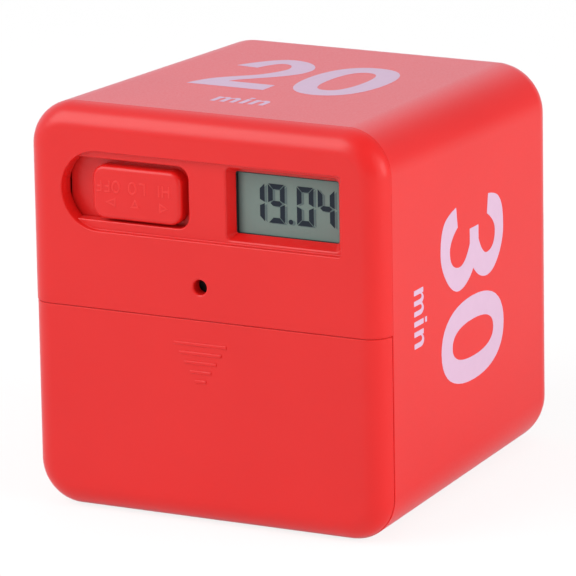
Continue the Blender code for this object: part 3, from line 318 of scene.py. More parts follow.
def displayFilm(name, light, deep, paintedShadeEdge=None):
    # polariser with an antireflective hard coat: grey-green, a faint mottle from its reflector, a dull sheen
    material, tree, coords = startMaterial(name)
    tint = addTint(tree, light, deep, addNoise(tree, coords, 0.5, 3))
    if paintedShadeEdge:
        # painted shade: the film darkens softly towards its left end, where the window's edge shades it
        place, (start, end) = addNode(tree, "SeparateXYZ", {0: coords}), paintedShadeEdge
        away = addRange(tree, place, (start * mm, 0), (end * mm, 1), "SMOOTHSTEP")
        paintedShade = {"data_type": "RGBA", 0: away, 6: hexColour("#232625"), 7: tint}
        tint = addNode(tree, "Mix", paintedShade).outputs[2]
    return finishMaterial(material, tint, {"IOR": 1.5, "Roughness": 0.24, "Specular IOR Level": 0.25})


# light and deep colour, patch size, grain size and height in mm, roughness
redPlastic = moulded("mouldedRedAbs", "#e5201d", "#dc1917", 22, 0.32, 0.006, 0.32)
# painted highlight: paler, standing for the light that the marks' raised tops catch
paintedHighlightRed = moulded("paintedHighlightRedAbs", "#ec322e", "#e62b28", 6, 0.3, 0.004, 0.45)
blackPlastic = moulded("mouldedBlackAbs", "#1b1b1d", "#131314", 9, 0.3, 0.008, 0.45)
phenolicBoard = moulded("pressedPhenolic", "#6d4426", "#5a361d", 3, 0.4, 0.01, 0.6)
pottingEpoxy = moulded("curedEpoxyDrop", "#0b0b0c", "#050506", 4, 1.2, 0.02, 0.2)
sleeveFilm = moulded("shrunkSleevePvc", "#17172c", "#101024", 5, 0.5, 0.004, 0.3)
cellFilm = moulded("cellJacketFilm", "#26407a", "#1f3568", 7, 0.5, 0.003, 0.25)
redInsulation = moulded("extrudedRedPvc", "#b01414", "#9c0f0f", 4, 0.4, 0.01, 0.35)
blackInsulation = moulded("extrudedBlackPvc", "#161616", "#0e0e0e", 4, 0.4, 0.01, 0.35)
printInk = printedInk("padPrintedInk", "#d8b6cf", "#d3b0ca", 0.5)
nickelPlate = metalFinish("nickelPlatedSteel", "#c9c5bc", "#b9b5ab", 0.26, 0.35)
polishedSteel = metalFinish("polishedBallSteel", "#cfcfcf", "#c3c3c3", 0.14, 0.3)
drawnBrass = metalFinish("drawnBrass", "#d9b45e", "#c79f48", 0.28, 0.4)
boardLacquer = solderMask("boardSolderMask", "#0d4a1c", "#2a7a35")
contactRubber = stripedRubber("layeredContactRubber", "#26201f", "#dcb3bb")
# the display film gets a painted shade at its left end, from 4.3 to 6.3 mm
displayGrey = displayFilm("displayPolariser", "#75867f", "#71827c", (4.3, 6.3))
segmentInk = displayFilm("liquidCrystalDark", "#141f2c", "#131c27")
segmentShade = displayFilm("segmentShadow", "#5b6b6b", "#576766")
print("materials ready")


# The casing: one rounded cube whose sides draw in, split at the seams

casing = {
    "halfWidth": 30.5, "height": 64.0, "depth": 63.5, "wall": 2.0,
    "cornerFront": 7.0, "cornerBack": 9.2, "frontRadius": 3.8, "backRadius": 5.6, "draft": 1.4,
    "cornerSteps": 22, "edgeSteps": 12, "seamRound": 0.1,
}
casing["slope"] = casing["draft"] / (casing["depth"] - casing["frontRadius"])
seam = {
    "doorTop": 32.37, "coverBottom": 32.54, "round": 0.1, "step": 0.25, "edgeStep": 0.18,
    "front": 3.5, "back": 3.54, "bandBack": 5.65, "shelfTop": 34.1,
}
everywhere = (-2, 66)


def casingEnds(offset):
    # radii of the front and back edges, and the depths where the sides start and end
    front = max(casing["frontRadius"] - offset, 0.5)
    back = max(casing["backRadius"] - offset, 0.5)
    return front, back, offset + front, casing["depth"] - offset - back


def casingInset(depth, offset):
    # how far the side at this depth stands in from the widest place
    front, back, first, last = casingEnds(offset)
    if depth < first:
        return front - math.sqrt(max(front ** 2 - (first - depth) ** 2, 0))
    if depth <= last:
        return casing["slope"] * (depth - first)
    return casing["slope"] * (last - first) + back - math.sqrt(max(back ** 2 - (depth - last) ** 2, 0))


def casingRing(depth, offset=0.0, extra=0.0):
    inset = offset + extra + casingInset(depth, offset)
    half = casing["halfWidth"] - inset
    # the four long edges are rounder at the back than at the front
    corner = casing["cornerFront"] + (casing["cornerBack"] - casing["cornerFront"]) * depth / casing["depth"]
    radius = max(corner - inset, 0.5)
    outline = roundedBox(-half, half, inset, casing["height"] - inset, radius, casing["cornerSteps"])
    return [(x, depth, z) for x, z in outline]


def casingDepths(offset=0.0):
    front, back, first, last = casingEnds(offset)
    steps = quarterSteps(casing["edgeSteps"])
    depths = [first - front * (1 - gone) for gone, left in steps]
    return depths + [last + back * (1 - left) for gone, left in steps]


def wholeCasing(offset):
    return loft([casingRing(depth, offset) for depth in casingDepths(offset)])


def frontSkin(sideStep):
    # the casing from its front face to the seam, with the seam's edge rounded
    front, radius = seam["front"], casing["seamRound"]
    rings = [casingRing(depth, 0, sideStep) for depth in casingDepths() if depth < front - radius]
    for gone, left in quarterSteps(4):
        rings.append(casingRing(front - radius * left, 0, sideStep + radius * gone))
    return loft(rings)


def slab(depths, heights):
    return block((-32, 32), depths, heights)


def casingPart(inward, depths, heights):
    # what lies this far inside the casing's surface, between these depths and heights
    return common(wholeCasing(inward), slab(depths, heights))


def roundSeam(piece, height):
    # rounds the sharp edge of a piece where it ends at the seam between cover and door
    shape = bmesh.new()
    shape.from_mesh(piece.data)
    bmesh.ops.remove_doubles(shape, verts=shape.verts, dist=0.0005 * mm)
    bmesh.ops.dissolve_degenerate(shape, edges=shape.edges, dist=0.0005 * mm)
    picked = [
        edge for edge in shape.edges
        if len(edge.link_faces) == 2 and edge.calc_face_angle() > math.radians(40)
        and all(abs(v.co.z / mm - height) < 0.01 and v.co.y / mm < seam["front"] + 0.01 for v in edge.verts)
    ]
    bmesh.ops.bevel(
        shape, geom=picked, offset=seam["round"] * mm, segments=3, profile=0.5, affect="EDGES",
        clamp_overlap=True
    )
    shape.to_mesh(piece.data)
    shape.free()


# Main shell

compartment = {
    "outerHalf": 26.2, "innerHalf": 25.0, "bottom": 3.2, "innerBottom": 4.4, "innerTop": 26.5, "top": 27.7,
    "floor": 14.4, "outerFloor": 15.6, "flangeFront": 2.2, "flangeBack": 2.8, "flangeHalf": 27.3,
    "trayBack": 4.4, "trayTop": 33.6, "trayCorner": 4.4, "hookTop": 60.8, "lowerCell": 9.95,
    "upperCell": 20.95, "slitSides": (24.1, 25.0), "slitDepths": (13.4, 16.6), "slitHalf": 1.4,
}
coverScrew = {
    "x": 22.0, "z": 30.3, "headRadius": 1.9, "seatFront": 4.1, "seatBack": 5.9, "seatRadius": 2.9,
    "holeRadius": 1.3, "postRadius": 2.3, "postFront": 6.2, "postBack": 16.0, "webHalf": 0.8, "webEnd": 29.0,
}
screwPlaces = [(-coverScrew["x"], coverScrew["z"]), (coverScrew["x"], coverScrew["z"])]
# how far in the shell's lip and its widened mouth lie, and where they end
shellRim = {"lipIn": 2.2, "lipDepths": (2.99, 5.15), "lipBottom": 34.4, "mouthIn": 2.65, "mouthBack": 6.65}
relief = ((-28.3, -26.6), (2.1, 4.3), (45.1, 57.0))  # room for the knob's skirt: sides, depths, heights


def makeShell():
    back, radius = seam["back"], casing["seamRound"]
    rings = [casingRing(back + radius * gone, 0, radius * left) for gone, left in quarterSteps(4)]
    rings += [casingRing(depth) for depth in casingDepths() if depth > back + radius]
    shell = loft(rings)
    lip = casingPart(shellRim["lipIn"], shellRim["lipDepths"], (shellRim["lipBottom"], 66))
    # a step a little way down the seam keeps the gap from being black
    step = casingPart(seam["edgeStep"], (seam["front"] + 0.01, back + 1), everywhere)
    fuse(shell, lip, step)
    hollow = casingPart(casing["wall"], (seam["bandBack"], 64), everywhere)
    mouth = casingPart(shellRim["mouthIn"], (-1, shellRim["mouthBack"]), everywhere)
    cut(shell, hollow, mouth, block(*relief))
    front, back = coverScrew["postFront"], coverScrew["postBack"]
    for x, z in screwPlaces:
        ends = sorted((x, math.copysign(coverScrew["webEnd"], x)))
        heights = (z - coverScrew["webHalf"], z + coverScrew["webHalf"])
        post = rod(x, z, coverScrew["postRadius"], (front, back))
        fuse(shell, block(ends, (front, back), heights), post)
        cut(shell, rod(x, z, coverScrew["holeRadius"], (front - 1, back - 1)))
    return shell


shell = makeShell()
leaned = [leanTurn @ vertex.co for vertex in shell.data.vertices]
shellLow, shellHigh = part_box("main_shell")
shift = Vector((0, shellHigh.y - max(v.y for v in leaned), shellLow.z - min(v.z for v in leaned)))
stance["matrix"] = Matrix.Translation(shift) @ leanTurn.to_4x4()
finishPiece("shell_moulding", shell, redPlastic, "body", ["main_shell"])
print("main shell, shift in mm:", [round(v / mm, 3) for v in shift])


# Front cover with its recess, slot, window and sound hole

recess = {
    "left": -24.2, "right": 23.7, "bottom": 44.7, "top": 57.12, "depth": 0.9, "corner": 0.5,
    "rimRound": 0.2, "floorRound": 0.15,
}
slot = {"left": -24.1, "right": -2.6, "middle": 51.05, "height": 9.65, "corner": 2.0, "rimRound": 0.28}
window = {
    "left": 4.68, "right": 22.2, "bottom": 46.1, "top": 55.75, "corner": 0.4,
    "bevel": 0.75, "bevelDepth": 1.7, "rimRound": 0.4,
}
soundHole = {"x": -0.5, "z": 37.6, "radius": 1.15, "rimRound": 0.35}
pad = {"front": 1.5, "back": 2.7, "margin": 1.3}
boardScrews = [(-24.8, 37.2), (24.8, 37.2), (-0.5, 59.2)]
boss = {"radius": 1.9, "depths": (1.5, 8.0), "holeRadius": 1.15, "holeDepths": (2.5, 9.3)}
hooks = {
    # (depth, z) outlines of the snap hooks at the top and bottom
    "upper": [
        (1.5, 60.05), (6.95, 60.05), (6.95, 61.05), (6.45, 61.6), (5.95, 61.6), (5.95, 61.05), (1.5, 61.05)
    ],
    "lower": [(5.95, 3.9), (5.95, 2.43), (6.45, 2.43), (6.95, 3.2), (6.95, 3.9)],
    "ends": ((-19, -13), (13, 19)),
}


def recessOutline(inset):
    bottom, top = recess["bottom"] + inset, recess["top"] - inset
    left, right = recess["left"] + inset, recess["right"] - inset
    radius, corner = (top - bottom) / 2, max(recess["corner"] - inset, 0.05)
    points = arcPoints(right - corner, bottom + corner, corner, -1, 1, 14)
    points += arcPoints(right - corner, top - corner, corner, 0, 1, 14)
    return points + arcPoints(left + radius, bottom + radius, radius, 1, 2, 56)


def slotOutline(inset):
    left, right, half = slot["left"] + inset, slot["right"] - inset, slot["height"] / 2 - inset
    corner = max(slot["corner"] - inset, 0.1)
    return roundedBox(left, right, slot["middle"] - half, slot["middle"] + half, corner)


def windowOutline(inset):
    left, right = window["left"] + inset, window["right"] - inset
    corner = max(window["corner"] - inset / 2, 0.1)
    return roundedBox(left, right, window["bottom"] + inset, window["top"] - inset, corner, 8)


def cutterFrom(outlineAt, rings):
    # rings: (depth, how far the outline spreads there)
    return loft([[(x, depth, z) for x, z in outlineAt(-spread)] for depth, spread in rings])


def rimRings(front, radius):
    # a cutter's front, which leaves a rounded rim
    curve = [(front + radius * gone, radius * left) for gone, left in quarterSteps(6)]
    return [(front - 1.0, radius)] + curve


def makeCover():
    cover = frontSkin(0)
    common(cover, slab((-1, 4), (seam["coverBottom"], 66)))
    roundSeam(cover, seam["coverBottom"])
    heights = (seam["doorTop"] + 0.01, seam["coverBottom"] + 1)
    fuse(cover, casingPart(seam["step"], (-1, seam["front"] - 0.2), heights))
    cut(cover, casingPart(casing["wall"], (-2, 65), (seam["shelfTop"], 66)))
    sides = (recess["left"] - pad["margin"], recess["right"] + pad["margin"])
    heights = (recess["bottom"] - pad["margin"], recess["top"] + pad["margin"])
    return fuse(cover, block(sides, (pad["front"], pad["back"]), heights))


def makeTray():
    # plate behind the door with flanges that guide the door's rails, and the cells' compartment
    c = compartment
    flange, outer, step = c["flangeHalf"], c["outerHalf"], c["flangeBack"]
    half = [(flange, c["flangeFront"]), (flange, step), (outer, step), (outer, c["trayBack"])]
    section = [(-x, depth) for x, depth in half[:1]] + half + [(-x, depth) for x, depth in half[:0:-1]]
    tray = loft([[(x, depth, z) for x, depth in section] for z in (c["bottom"], c["trayTop"])])
    walls = block((-outer, outer), (step, c["outerFloor"]), (c["bottom"], c["top"]))
    fuse(tray, walls)
    limit = roundedBox(-flange, flange, c["bottom"], c["hookTop"], c["trayCorner"])
    return common(tray, prism(limit, (0, 17)))


def fitTray(cover):
    c = compartment
    fuse(cover, makeTray())
    for x, z in screwPlaces:
        seat = (c["trayBack"] - 0.5, coverScrew["seatBack"])
        fuse(cover, rod(x, z, coverScrew["seatRadius"], seat))
    sides, heights = (-c["innerHalf"], c["innerHalf"]), (c["innerBottom"], c["innerTop"])
    cut(cover, block(sides, (1.2, c["floor"]), heights))
    for z in (c["lowerCell"], c["upperCell"]):
        heights = (z - c["slitHalf"], z + c["slitHalf"])
        cut(cover, block(c["slitSides"], c["slitDepths"], heights))
    for x, z in screwPlaces:
        seat = (coverScrew["seatFront"] - 0.5, coverScrew["seatBack"] + 1)
        headHole = rod(x, z, coverScrew["headRadius"] + 0.3, (1.2, coverScrew["seatFront"]))
        cut(cover, headHole, rod(x, z, coverScrew["holeRadius"], seat))


def fitBossesAndHooks(cover):
    for x, z in boardScrews:
        fuse(cover, rod(x, z, boss["radius"], boss["depths"]))
        cut(cover, rod(x, z, boss["holeRadius"], boss["holeDepths"]))
    for ends in hooks["ends"]:
        for outline in (hooks["upper"], hooks["lower"]):
            fuse(cover, loft([[(x, depth, z) for depth, z in outline] for x in ends]))


def cutOpenings(cover):
    # the recess has a small fillet round its floor too
    floor, fillet = recess["depth"], recess["floorRound"]
    rings = rimRings(0, recess["rimRound"])
    rings += [(floor - fillet * left, -fillet * gone) for gone, left in quarterSteps(6)]
    cut(cover, cutterFrom(recessOutline, rings))
    opening = cutterFrom(slotOutline, rimRings(floor, slot["rimRound"]) + [(pad["back"] + 1, 0)])
    common(opening, prism(recessOutline(0.02), (-2, pad["back"] + 2)))
    cut(cover, opening)
    radius, bevel = window["rimRound"], window["bevel"]
    rings = [(floor - 1, bevel + radius), (floor, bevel + radius)]
    rings += [(floor + radius * gone, bevel + radius * left) for gone, left in quarterSteps(7)[1:7]]
    rings += [(floor + window["bevelDepth"], 0.0), (pad["back"] + 1, 0.0)]
    cut(cover, cutterFrom(windowOutline, rings))
    radius, rim = soundHole["radius"], soundHole["rimRound"]
    profile = [(radius + rim, -1.0)] + [(radius + rim * left, rim * gone) for gone, left in quarterSteps(6)]
    profile.append((radius, 3.0))
    cut(cover, turned((soundHole["x"], 0, soundHole["z"]), (0, 1, 0), profile))


cover = makeCover()
fitTray(cover)
fitBossesAndHooks(cover)
cutOpenings(cover)
finishPiece("cover_moulding", cover, redPlastic, "body", ["front_cover"])
print("front cover")


# Battery door with its five grip ridges

door = {"sideStep": 0.1, "railFoot": 26.6, "railDepths": (3.0, 4.4), "railHeights": (7.6, 31.05)}
grip = {"Count": 5, "Pitch": 1.46, "Top Length": 9.0, "Length Step": 1.8, "Width": 0.55, "Raise": 0.15}
gripPlace = (-0.6, 0, 28.62)


def startTree(name, sizes):
    # a tree with an input for each size: a count, a length in millimetres or the name of another kind
    tree = bpy.data.node_groups.new(name, "GeometryNodeTree")
    tree.interface.new_socket("Geometry", in_out="OUTPUT", socket_type="NodeSocketGeometry")
    for label, value in sizes.items():
        kind = value if isinstance(value, str) else "Int" if isinstance(value, int) else "Float"
        tree.interface.new_socket(label, in_out="INPUT", socket_type="NodeSocket" + kind)
    return tree, addNode(tree, "NodeGroupInput").outputs


def endTree(tree, geometry, material):
    real = addNode(tree, "GeometryNodeRealizeInstances", {"Geometry": geometry})
    painted = addNode(tree, "GeometryNodeSetMaterial", {"Material": material, "Geometry": real})
    addNode(tree, "NodeGroupOutput", {0: painted})
    return tree


def growPiece(tree, sizes, places=()):
    # runs a tree with these sizes, on these points if it needs any, and keeps the plain mesh it makes
    start = bpy.data.meshes.new("points")
    start.from_pydata([Vector(place) * mm for place in places], [], [])
    piece = placeObject("part", start)
    modifier = piece.modifiers.new(tree.name, "NODES")
    modifier.node_group = tree
    for item in tree.interface.items_tree:
        if item.name in sizes:
            value = sizes[item.name]
            modifier[item.identifier] = value * mm if isinstance(value, float) else value
    return bakeModifiers(piece)


def sweepAlong(tree, curve, section):
    settings = {"Fill Caps": True, "Curve": curve, "Profile Curve": section}
    return addNode(tree, "GeometryNodeCurveToMesh", settings)


def gripTree():
    # a row of rounded ridges, each shorter than the one above it
    tree, given = startTree("gripRidges", grip)
    down = addNode(tree, "CombineXYZ", {"Z": addMath(tree, "MULTIPLY", given["Pitch"], -1.0)})
    row = addNode(tree, "GeometryNodeMeshLine", {"mode": "OFFSET", "Count": given["Count"], "Offset": down})
    index = addNode(tree, "GeometryNodeInputIndex")
    shorter = addMath(tree, "MULTIPLY", index, given["Length Step"])
    length = addMath(tree, "SUBTRACT", given["Top Length"], shorter)
    stretch = addNode(tree, "CombineXYZ", {"X": length, "Y": 1.0, "Z": 1.0})
    spine = addNode(tree, "GeometryNodeCurvePrimitiveLine", {"Start": (-0.5, 0, 0), "End": (0.5, 0, 0)})
    tall = addMath(tree, "MULTIPLY", given["Raise"], 2.0)
    shape = {"mode": "RECTANGLE", "Width": tall, "Height": given["Width"]}
    section = addNode(tree, "GeometryNodeCurvePrimitiveQuadrilateral", shape)
    rounding = {"mode": "POLY", "Count": 5, "Curve": section, "Radius": given["Raise"]}
    ridge = sweepAlong(tree, spine, addNode(tree, "GeometryNodeFilletCurve", rounding))
    ridges = {"Points": row, "Instance": ridge, "Scale": stretch}
    return endTree(tree, addNode(tree, "GeometryNodeInstanceOnPoints", ridges), redPlastic)


def makeDoor():
    made = frontSkin(door["sideStep"])
    common(made, slab((-1, 4), (-1, seam["doorTop"])))
    hollow = wholeCasing(casing["wall"])
    for side in (-1, 1):
        ends = sorted((side * door["railFoot"], side * 32))
        cut(hollow, block(ends, door["railDepths"], door["railHeights"]))
    cut(made, hollow)
    roundSeam(made, seam["doorTop"])
    ridges = growPiece(gripTree(), grip)
    ridges.data.transform(Matrix.Translation(Vector(gripPlace) * mm))
    print("grip ridges in mm:", [round(v / mm, 2) for v in ridges.dimensions])
    return joinMeshes(made, ridges)


finishPiece("door_moulding", makeDoor(), redPlastic, "door", ["battery_door"])
print("battery door")


# Switch knob with its embossed marks

knob = {
    "x": -11.4, "z": 50.8, "width": 15.3, "height": 8.35, "corner": 2.0, "edge": 0.7, "face": 0.45,
    # sides, depths and heights
    "skirt": ((-24.0, 1.8), (3.0, 4.0), (45.425, 56.675)),
    "socket": ((-12.7, -10.1), (1.85, 5.0), (49.45, 52.65)),
}
embossing = {"letterWidth": 0.32, "arrowWidth": 0.26, "raise": 0.08, "letterHeight": 1.75, "letterBase": 52.7}
# the words stand upside down, so each starts at its right end, given here with the space after a letter
switchWords = [("HI", -5.65, 0.65), ("LO", -9.85, 0.65), ("OFF", -14.25, 0.55)]
arrowheads = [
    [(-16.5, 49.35), (-15.1, 49.95), (-15.1, 48.8)],
    [(-12.2, 48.95), (-11.6, 49.95), (-11.0, 48.95)],
    [(-6.05, 49.2), (-7.3, 49.8), (-7.3, 48.6)],
]
ridgeSection = [(-0.5, -0.5), (-0.5, 0.0), (-0.27, 0.75), (0, 1.0), (0.27, 0.75), (0.5, 0.0), (0.5, -0.5)]


def ridgeAlong(path, width, closed=False):
    # a low ridge with sloped sides along a path of (x, z) points on the knob's face
    count = len(path)
    rings = []
    for i in range(count):
        here = Vector(path[i])
        before = Vector(path[i - 1]) if i or closed else here
        after = Vector(path[(i + 1) % count]) if i < count - 1 or closed else here
        into, out = (here - before).normalized(), (after - here).normalized()
        along = (into + out).normalized()
        stretch = 1 / max(along.dot(into if into.length else out), 0.5)
        across = Vector((-along.y, along.x)) * width * stretch
        spots = [(here + across * share, up) for share, up in ridgeSection]
        rings.append([(spot.x, knob["face"] - up * embossing["raise"], spot.y) for spot, up in spots])
    return loft(rings, closed)


def switchLetters(tall):
    # the strokes of each letter, from its lower left corner, and its width
    half, bar = tall / 2, tall * 0.52
    turns = [2 * math.pi * i / 20 for i in range(20)]
    oval = [(0.6 + 0.6 * math.cos(turn), half + half * math.sin(turn)) for turn in turns]
    return {
        "H": ([[(0, 0), (0, tall)], [(1.1, 0), (1.1, tall)], [(0, half), (1.1, half)]], 1.1),
        "I": ([[(0, 0), (0, tall)]], 0.1),
        "L": ([[(0, tall), (0, 0), (0.9, 0)]], 0.9),
        "O": ([oval], 1.2),
        "F": ([[(0, 0), (0, tall), (0.85, tall)], [(0, bar), (0.75, bar)]], 0.85),
    }


def knobOutline(inset):
    x, z, half, tall = knob["x"], knob["z"], knob["width"] / 2 - inset, knob["height"] / 2 - inset
    return roundedBox(x - half, x + half, z - tall, z + tall, knob["corner"] - inset)


def makeKnob():
    # the cap with its rounded edge, the skirt behind the slot and the socket for the switch's slider
    edge = knob["edge"]
    rings = [(knob["face"] + edge * gone, -edge * left) for gone, left in quarterSteps(8)]
    made = cutterFrom(knobOutline, rings + [(knob["skirt"][1][0] + 0.5, 0)])
    fuse(made, block(*knob["skirt"]))
    return cut(made, block(*knob["socket"]))


def makeMarks():
    letters, base = switchLetters(embossing["letterHeight"]), embossing["letterBase"]
    marks = []
    for word, x, space in switchWords:
        for letter in word:
            strokes, advance = letters[letter]
            for path in strokes:
                placed = [(x - px, base - pz) for px, pz in path]
                marks.append(ridgeAlong(placed, embossing["letterWidth"], letter == "O"))
            x -= advance + space
    marks += [ridgeAlong(arrow, embossing["arrowWidth"], True) for arrow in arrowheads]
    return joinMeshes(*marks)


finishPiece("knob_moulding", makeKnob(), redPlastic, "switch", ["switch_knob"])
# the marks' paler red is a painted highlight on their raised tops
finishPiece("knob_marks", makeMarks(), paintedHighlightRed, "switch", sharpAngle=80)
print("switch knob and its marks")


# Printed minutes on four sides

glyphSet = {
    # anchors: (x, y) is a corner; (x, y, dx, dy) is smooth with that handle
    "0": [[(13.4, 11.6, 0, 7.3), (6.7, 23.0, -4.3, 0), (0, 11.6, 0, -7.3), (6.7, 0, 4.3, 0)],
          [(9.65, 11.6, 0, 5.1), (6.7, 19.1, -1.9, 0), (3.75, 11.6, 0, -5.1), (6.7, 4.0, 1.9, 0)]],
    "1": [[(5.4, 0), (9.3, 0), (9.3, 23.2), (6.3, 23.2), (4.6, 20.4, -1.3, -1.2), (1.4, 19.0), (1.4, 15.5),
           (5.4, 17.0)]],
    "2": [[(0.45, 15.8), (6.8, 23.2, 3.6, 0), (13.1, 16.7, 0, -2.7), (10.7, 10.6, -1.6, -2.0),
           (6.6, 6.3, -1.0, -1.0), (5.1, 4.0), (13.3, 4.0), (13.3, 0), (0, 0), (1.9, 5.0, 1.2, 1.8),
           (6.3, 9.6, 1.5, 1.5), (9.25, 16.2, 0, 1.7), (6.75, 19.9, -1.5, 0), (4.2, 15.4)]],
    "3": [[(0.15, 5.8), (1.7, 1.6, 1.0, -1.1), (6.6, 0, 2.5, 0), (13.5, 6.6, 0, 3.2), (11.0, 11.9),
           (13.35, 17.0, 0, 3.3), (6.9, 23.1, -2.7, 0), (1.9, 21.6, -1.1, -1.1), (0.5, 17.6), (3.6, 17.1),
           (6.8, 20.0, 1.8, 0), (9.7, 17.0, 0, -1.9), (6.8, 13.9), (4.6, 13.9), (4.6, 10.7), (6.9, 10.7),
           (9.8, 7.0, 0, -2.2), (6.7, 3.35, -1.9, 0), (3.4, 6.3)]],
    "6": [[(12.7, 18.1), (7.1, 23.2, -4.0, 0), (0, 11.3, 0, -6.6), (6.9, 0, 3.7, 0), (13.4, 7.4, 0, 3.9),
           (7.6, 14.7, -1.8, 0), (3.8, 12.6), (7.2, 20.0, 1.3, 0), (9.1, 17.8)],
          [(9.7, 7.3, 0, 2.3), (6.9, 11.5, -1.8, 0), (4.0, 7.3, 0, -2.3), (6.9, 3.2, 1.8, 0)]],
    "i": [[(0, 0), (0.9, 0), (0.9, 3.6), (0, 3.6)], [(0, 4.15), (0.9, 4.15), (0.9, 4.9), (0, 4.9)]],
    "n": [[(0, 0), (0.88, 0), (0.9, 2.1, 0, 0.5), (1.55, 2.95, 0.35, 0), (2.0, 2.2, 0, -0.35), (2.0, 0),
           (2.88, 0), (2.88, 2.4, 0, 0.8), (1.85, 3.72, -0.5, 0), (0.86, 3.1), (0.86, 3.6), (0, 3.6)]],
    "m": [[(0, 0), (0.88, 0), (0.9, 2.1, 0, 0.5), (1.4, 2.95, 0.3, 0), (1.8, 2.2, 0, -0.35), (1.8, 0),
           (2.66, 0), (2.68, 2.1, 0, 0.5), (3.2, 2.95, 0.3, 0), (3.6, 2.2, 0, -0.35), (3.6, 0), (4.46, 0),
           (4.46, 2.4, 0, 0.8), (3.5, 3.72, -0.4, 0), (2.5, 3.1), (1.75, 3.72, -0.4, 0), (0.86, 3.1),
           (0.86, 3.6), (0, 3.6)]],
}
printing = {"thickness": 0.035, "sunk": 0.012, "resolution": 10, "wordSize": 0.92}
minuteWord = [("m", 0.0), ("i", 5.3), ("n", 7.05)]


def glyphMesh(letters):
    # letters: (character, x, y, size) in millimetres; filled outlines made into one thin flat mesh
    flat = bpy.data.curves.new("outlines", "CURVE")
    flat.dimensions = "2D"
    flat.fill_mode = "BOTH"
    flat.extrude = printing["thickness"] / 2
    flat.resolution_u = printing["resolution"]
    for character, x, y, size in letters:
        for outline in glyphSet[character]:
            spline = flat.splines.new("BEZIER")
            spline.bezier_points.add(len(outline) - 1)
            spline.use_cyclic_u = True
            for point, anchor in zip(spline.bezier_points, outline):
                spot = Vector((anchor[0] * size + x, anchor[1] * size + y, 0))
                reach = Vector((*anchor[2:], 0)) * size if len(anchor) == 4 else Vector((0, 0, 0))
                point.handle_left_type = point.handle_right_type = "FREE"
                point.co, point.handle_left, point.handle_right = spot, spot - reach, spot + reach
    drawn = placeObject("drawn", flat)
    mesh = plainMesh(drawn)
    bpy.data.objects.remove(drawn)
    return placeObject("part", mesh)


def printSide(name, letters, anchor, across, out):
    # lays the flat print on a side: across is the reading direction, and its tops point to the back
    piece = glyphMesh(letters)
    across, out = Vector(across), Vector(out)
    up = (Vector((0, 1, 0)) - out * casing["slope"]).normalized()
    outward = across.cross(up)
    turn = Matrix((across, up, outward)).transposed().to_4x4()
    lift = printing["thickness"] / 2 - printing["sunk"]
    place = Vector(anchor) - out * casing["slope"] * (anchor[1] - casing["frontRadius"]) + outward * lift
    piece.data.transform(Matrix.Scale(mm, 4) @ Matrix.Translation(place) @ turn)
    shape = bmesh.new()
    shape.from_mesh(piece.data)
    bmesh.ops.remove_doubles(shape, verts=shape.verts, dist=0.0002 * mm)
    bmesh.ops.recalc_face_normals(shape, faces=shape.faces)
    shape.to_mesh(piece.data)
    shape.free()
    finishPiece(name, piece, printInk, "body", sharpAngle=20)


half, top = casing["halfWidth"], casing["height"]
prints = {
    # reading places and depth of the two digits, place and depth of the word, then the side: where both
    # are zero, the reading direction and the way it faces
    "minutes_twenty": ("20", (-14.5, 0.7), 22.9, -4.75, 12.2, (0, 0, top), (1, 0, 0), (0, 0, 1)),
    "minutes_thirty": ("30", (16.65, 31.95), 20.6, 26.35, 10.95, (half, 0, top), (0, 0, -1), (1, 0, 0)),
    "minutes_ten": ("10", (18.6, 31.3), 20.6, 27.2, 10.95, (-half, 0, 0), (0, 0, 1), (-1, 0, 0)),
    "minutes_sixty": ("60", (-14.5, 0.7), 20.6, -4.75, 10.95, (0, 0, 0), (-1, 0, 0), (0, 0, -1)),
}
for name, (number, places, base, wordPlace, wordBase, *side) in prints.items():
    size = printing["wordSize"]
    letters = [(digit, x, base, 1.0) for digit, x in zip(number, places)]
    letters += [(character, wordPlace + x * size, wordBase, size) for character, x in minuteWord]
    printSide(name, letters, *side)
print("printed minutes")


# The dark edge round the display's glass, behind the window

edging = {"sides": (4.8, 22.1), "heights": (46.15, 55.58), "wide": 0.9, "depths": (2.75, 3.085)}


def makeEdging():
    (left, right), (bottom, top), wide = edging["sides"], edging["heights"], edging["wide"]
    sides, heights = (left - wide, right + wide), (bottom - wide, top + wide)
    opening = prism(roundedBox(left, right, bottom, top, 0.3), (0, 5))
    return cut(block(sides, edging["depths"], heights), opening)


finishPiece("display_edging", makeEdging(), blackPlastic, "body")
print("display edging")


# What the display shows

digits = {
    "height": 6.05, "width": 2.85, "stroke": 0.82, "gap": 0.07, "base": 48.15, "front": 3.09,
    "shown": [("1", 6.5), ("9", 9.92), ("0", 14.8), ("4", 18.35)],
    "dot": (13.75, 48.55, 0.38), "shadeShift": (0.42, -0.12),
}
litSegments = {"0": "abcdef", "1": "bc", "4": "bcfg", "9": "abcdfg"}


def segmentShapes():
    # the seven bars of a digit with mitred ends, from its lower left corner
    w, h, t, g = digits["width"], digits["height"], digits["stroke"], digits["gap"]
    m, half, left, right = h / 2, t / 2, t + g, w - t - g
    out, into, tip = g * 0.2, t - g * 0.2, t * 0.42 + g
    upper = [(out, h - 1.6 * g), (into, h - left), (into, m + half + g), (out, m + 1.4 * g)]
    high, low = m + half, m - half
    middle = [(tip, m), (left, high), (right, high), (w - tip, m), (right, low), (left, low)]
    bars = {"a": [(1.6 * g, h), (w - 1.6 * g, h), (right, h - t), (left, h - t)], "g": middle, "f": upper}
    bars["b"] = [(w - x, y) for x, y in reversed(upper)]
    bars["e"] = [(x, h - y) for x, y in reversed(upper)]
    bars["c"] = [(w - x, h - y) for x, y in upper]
    bars["d"] = [(x, h - y) for x, y in reversed(bars["a"])]
    return bars


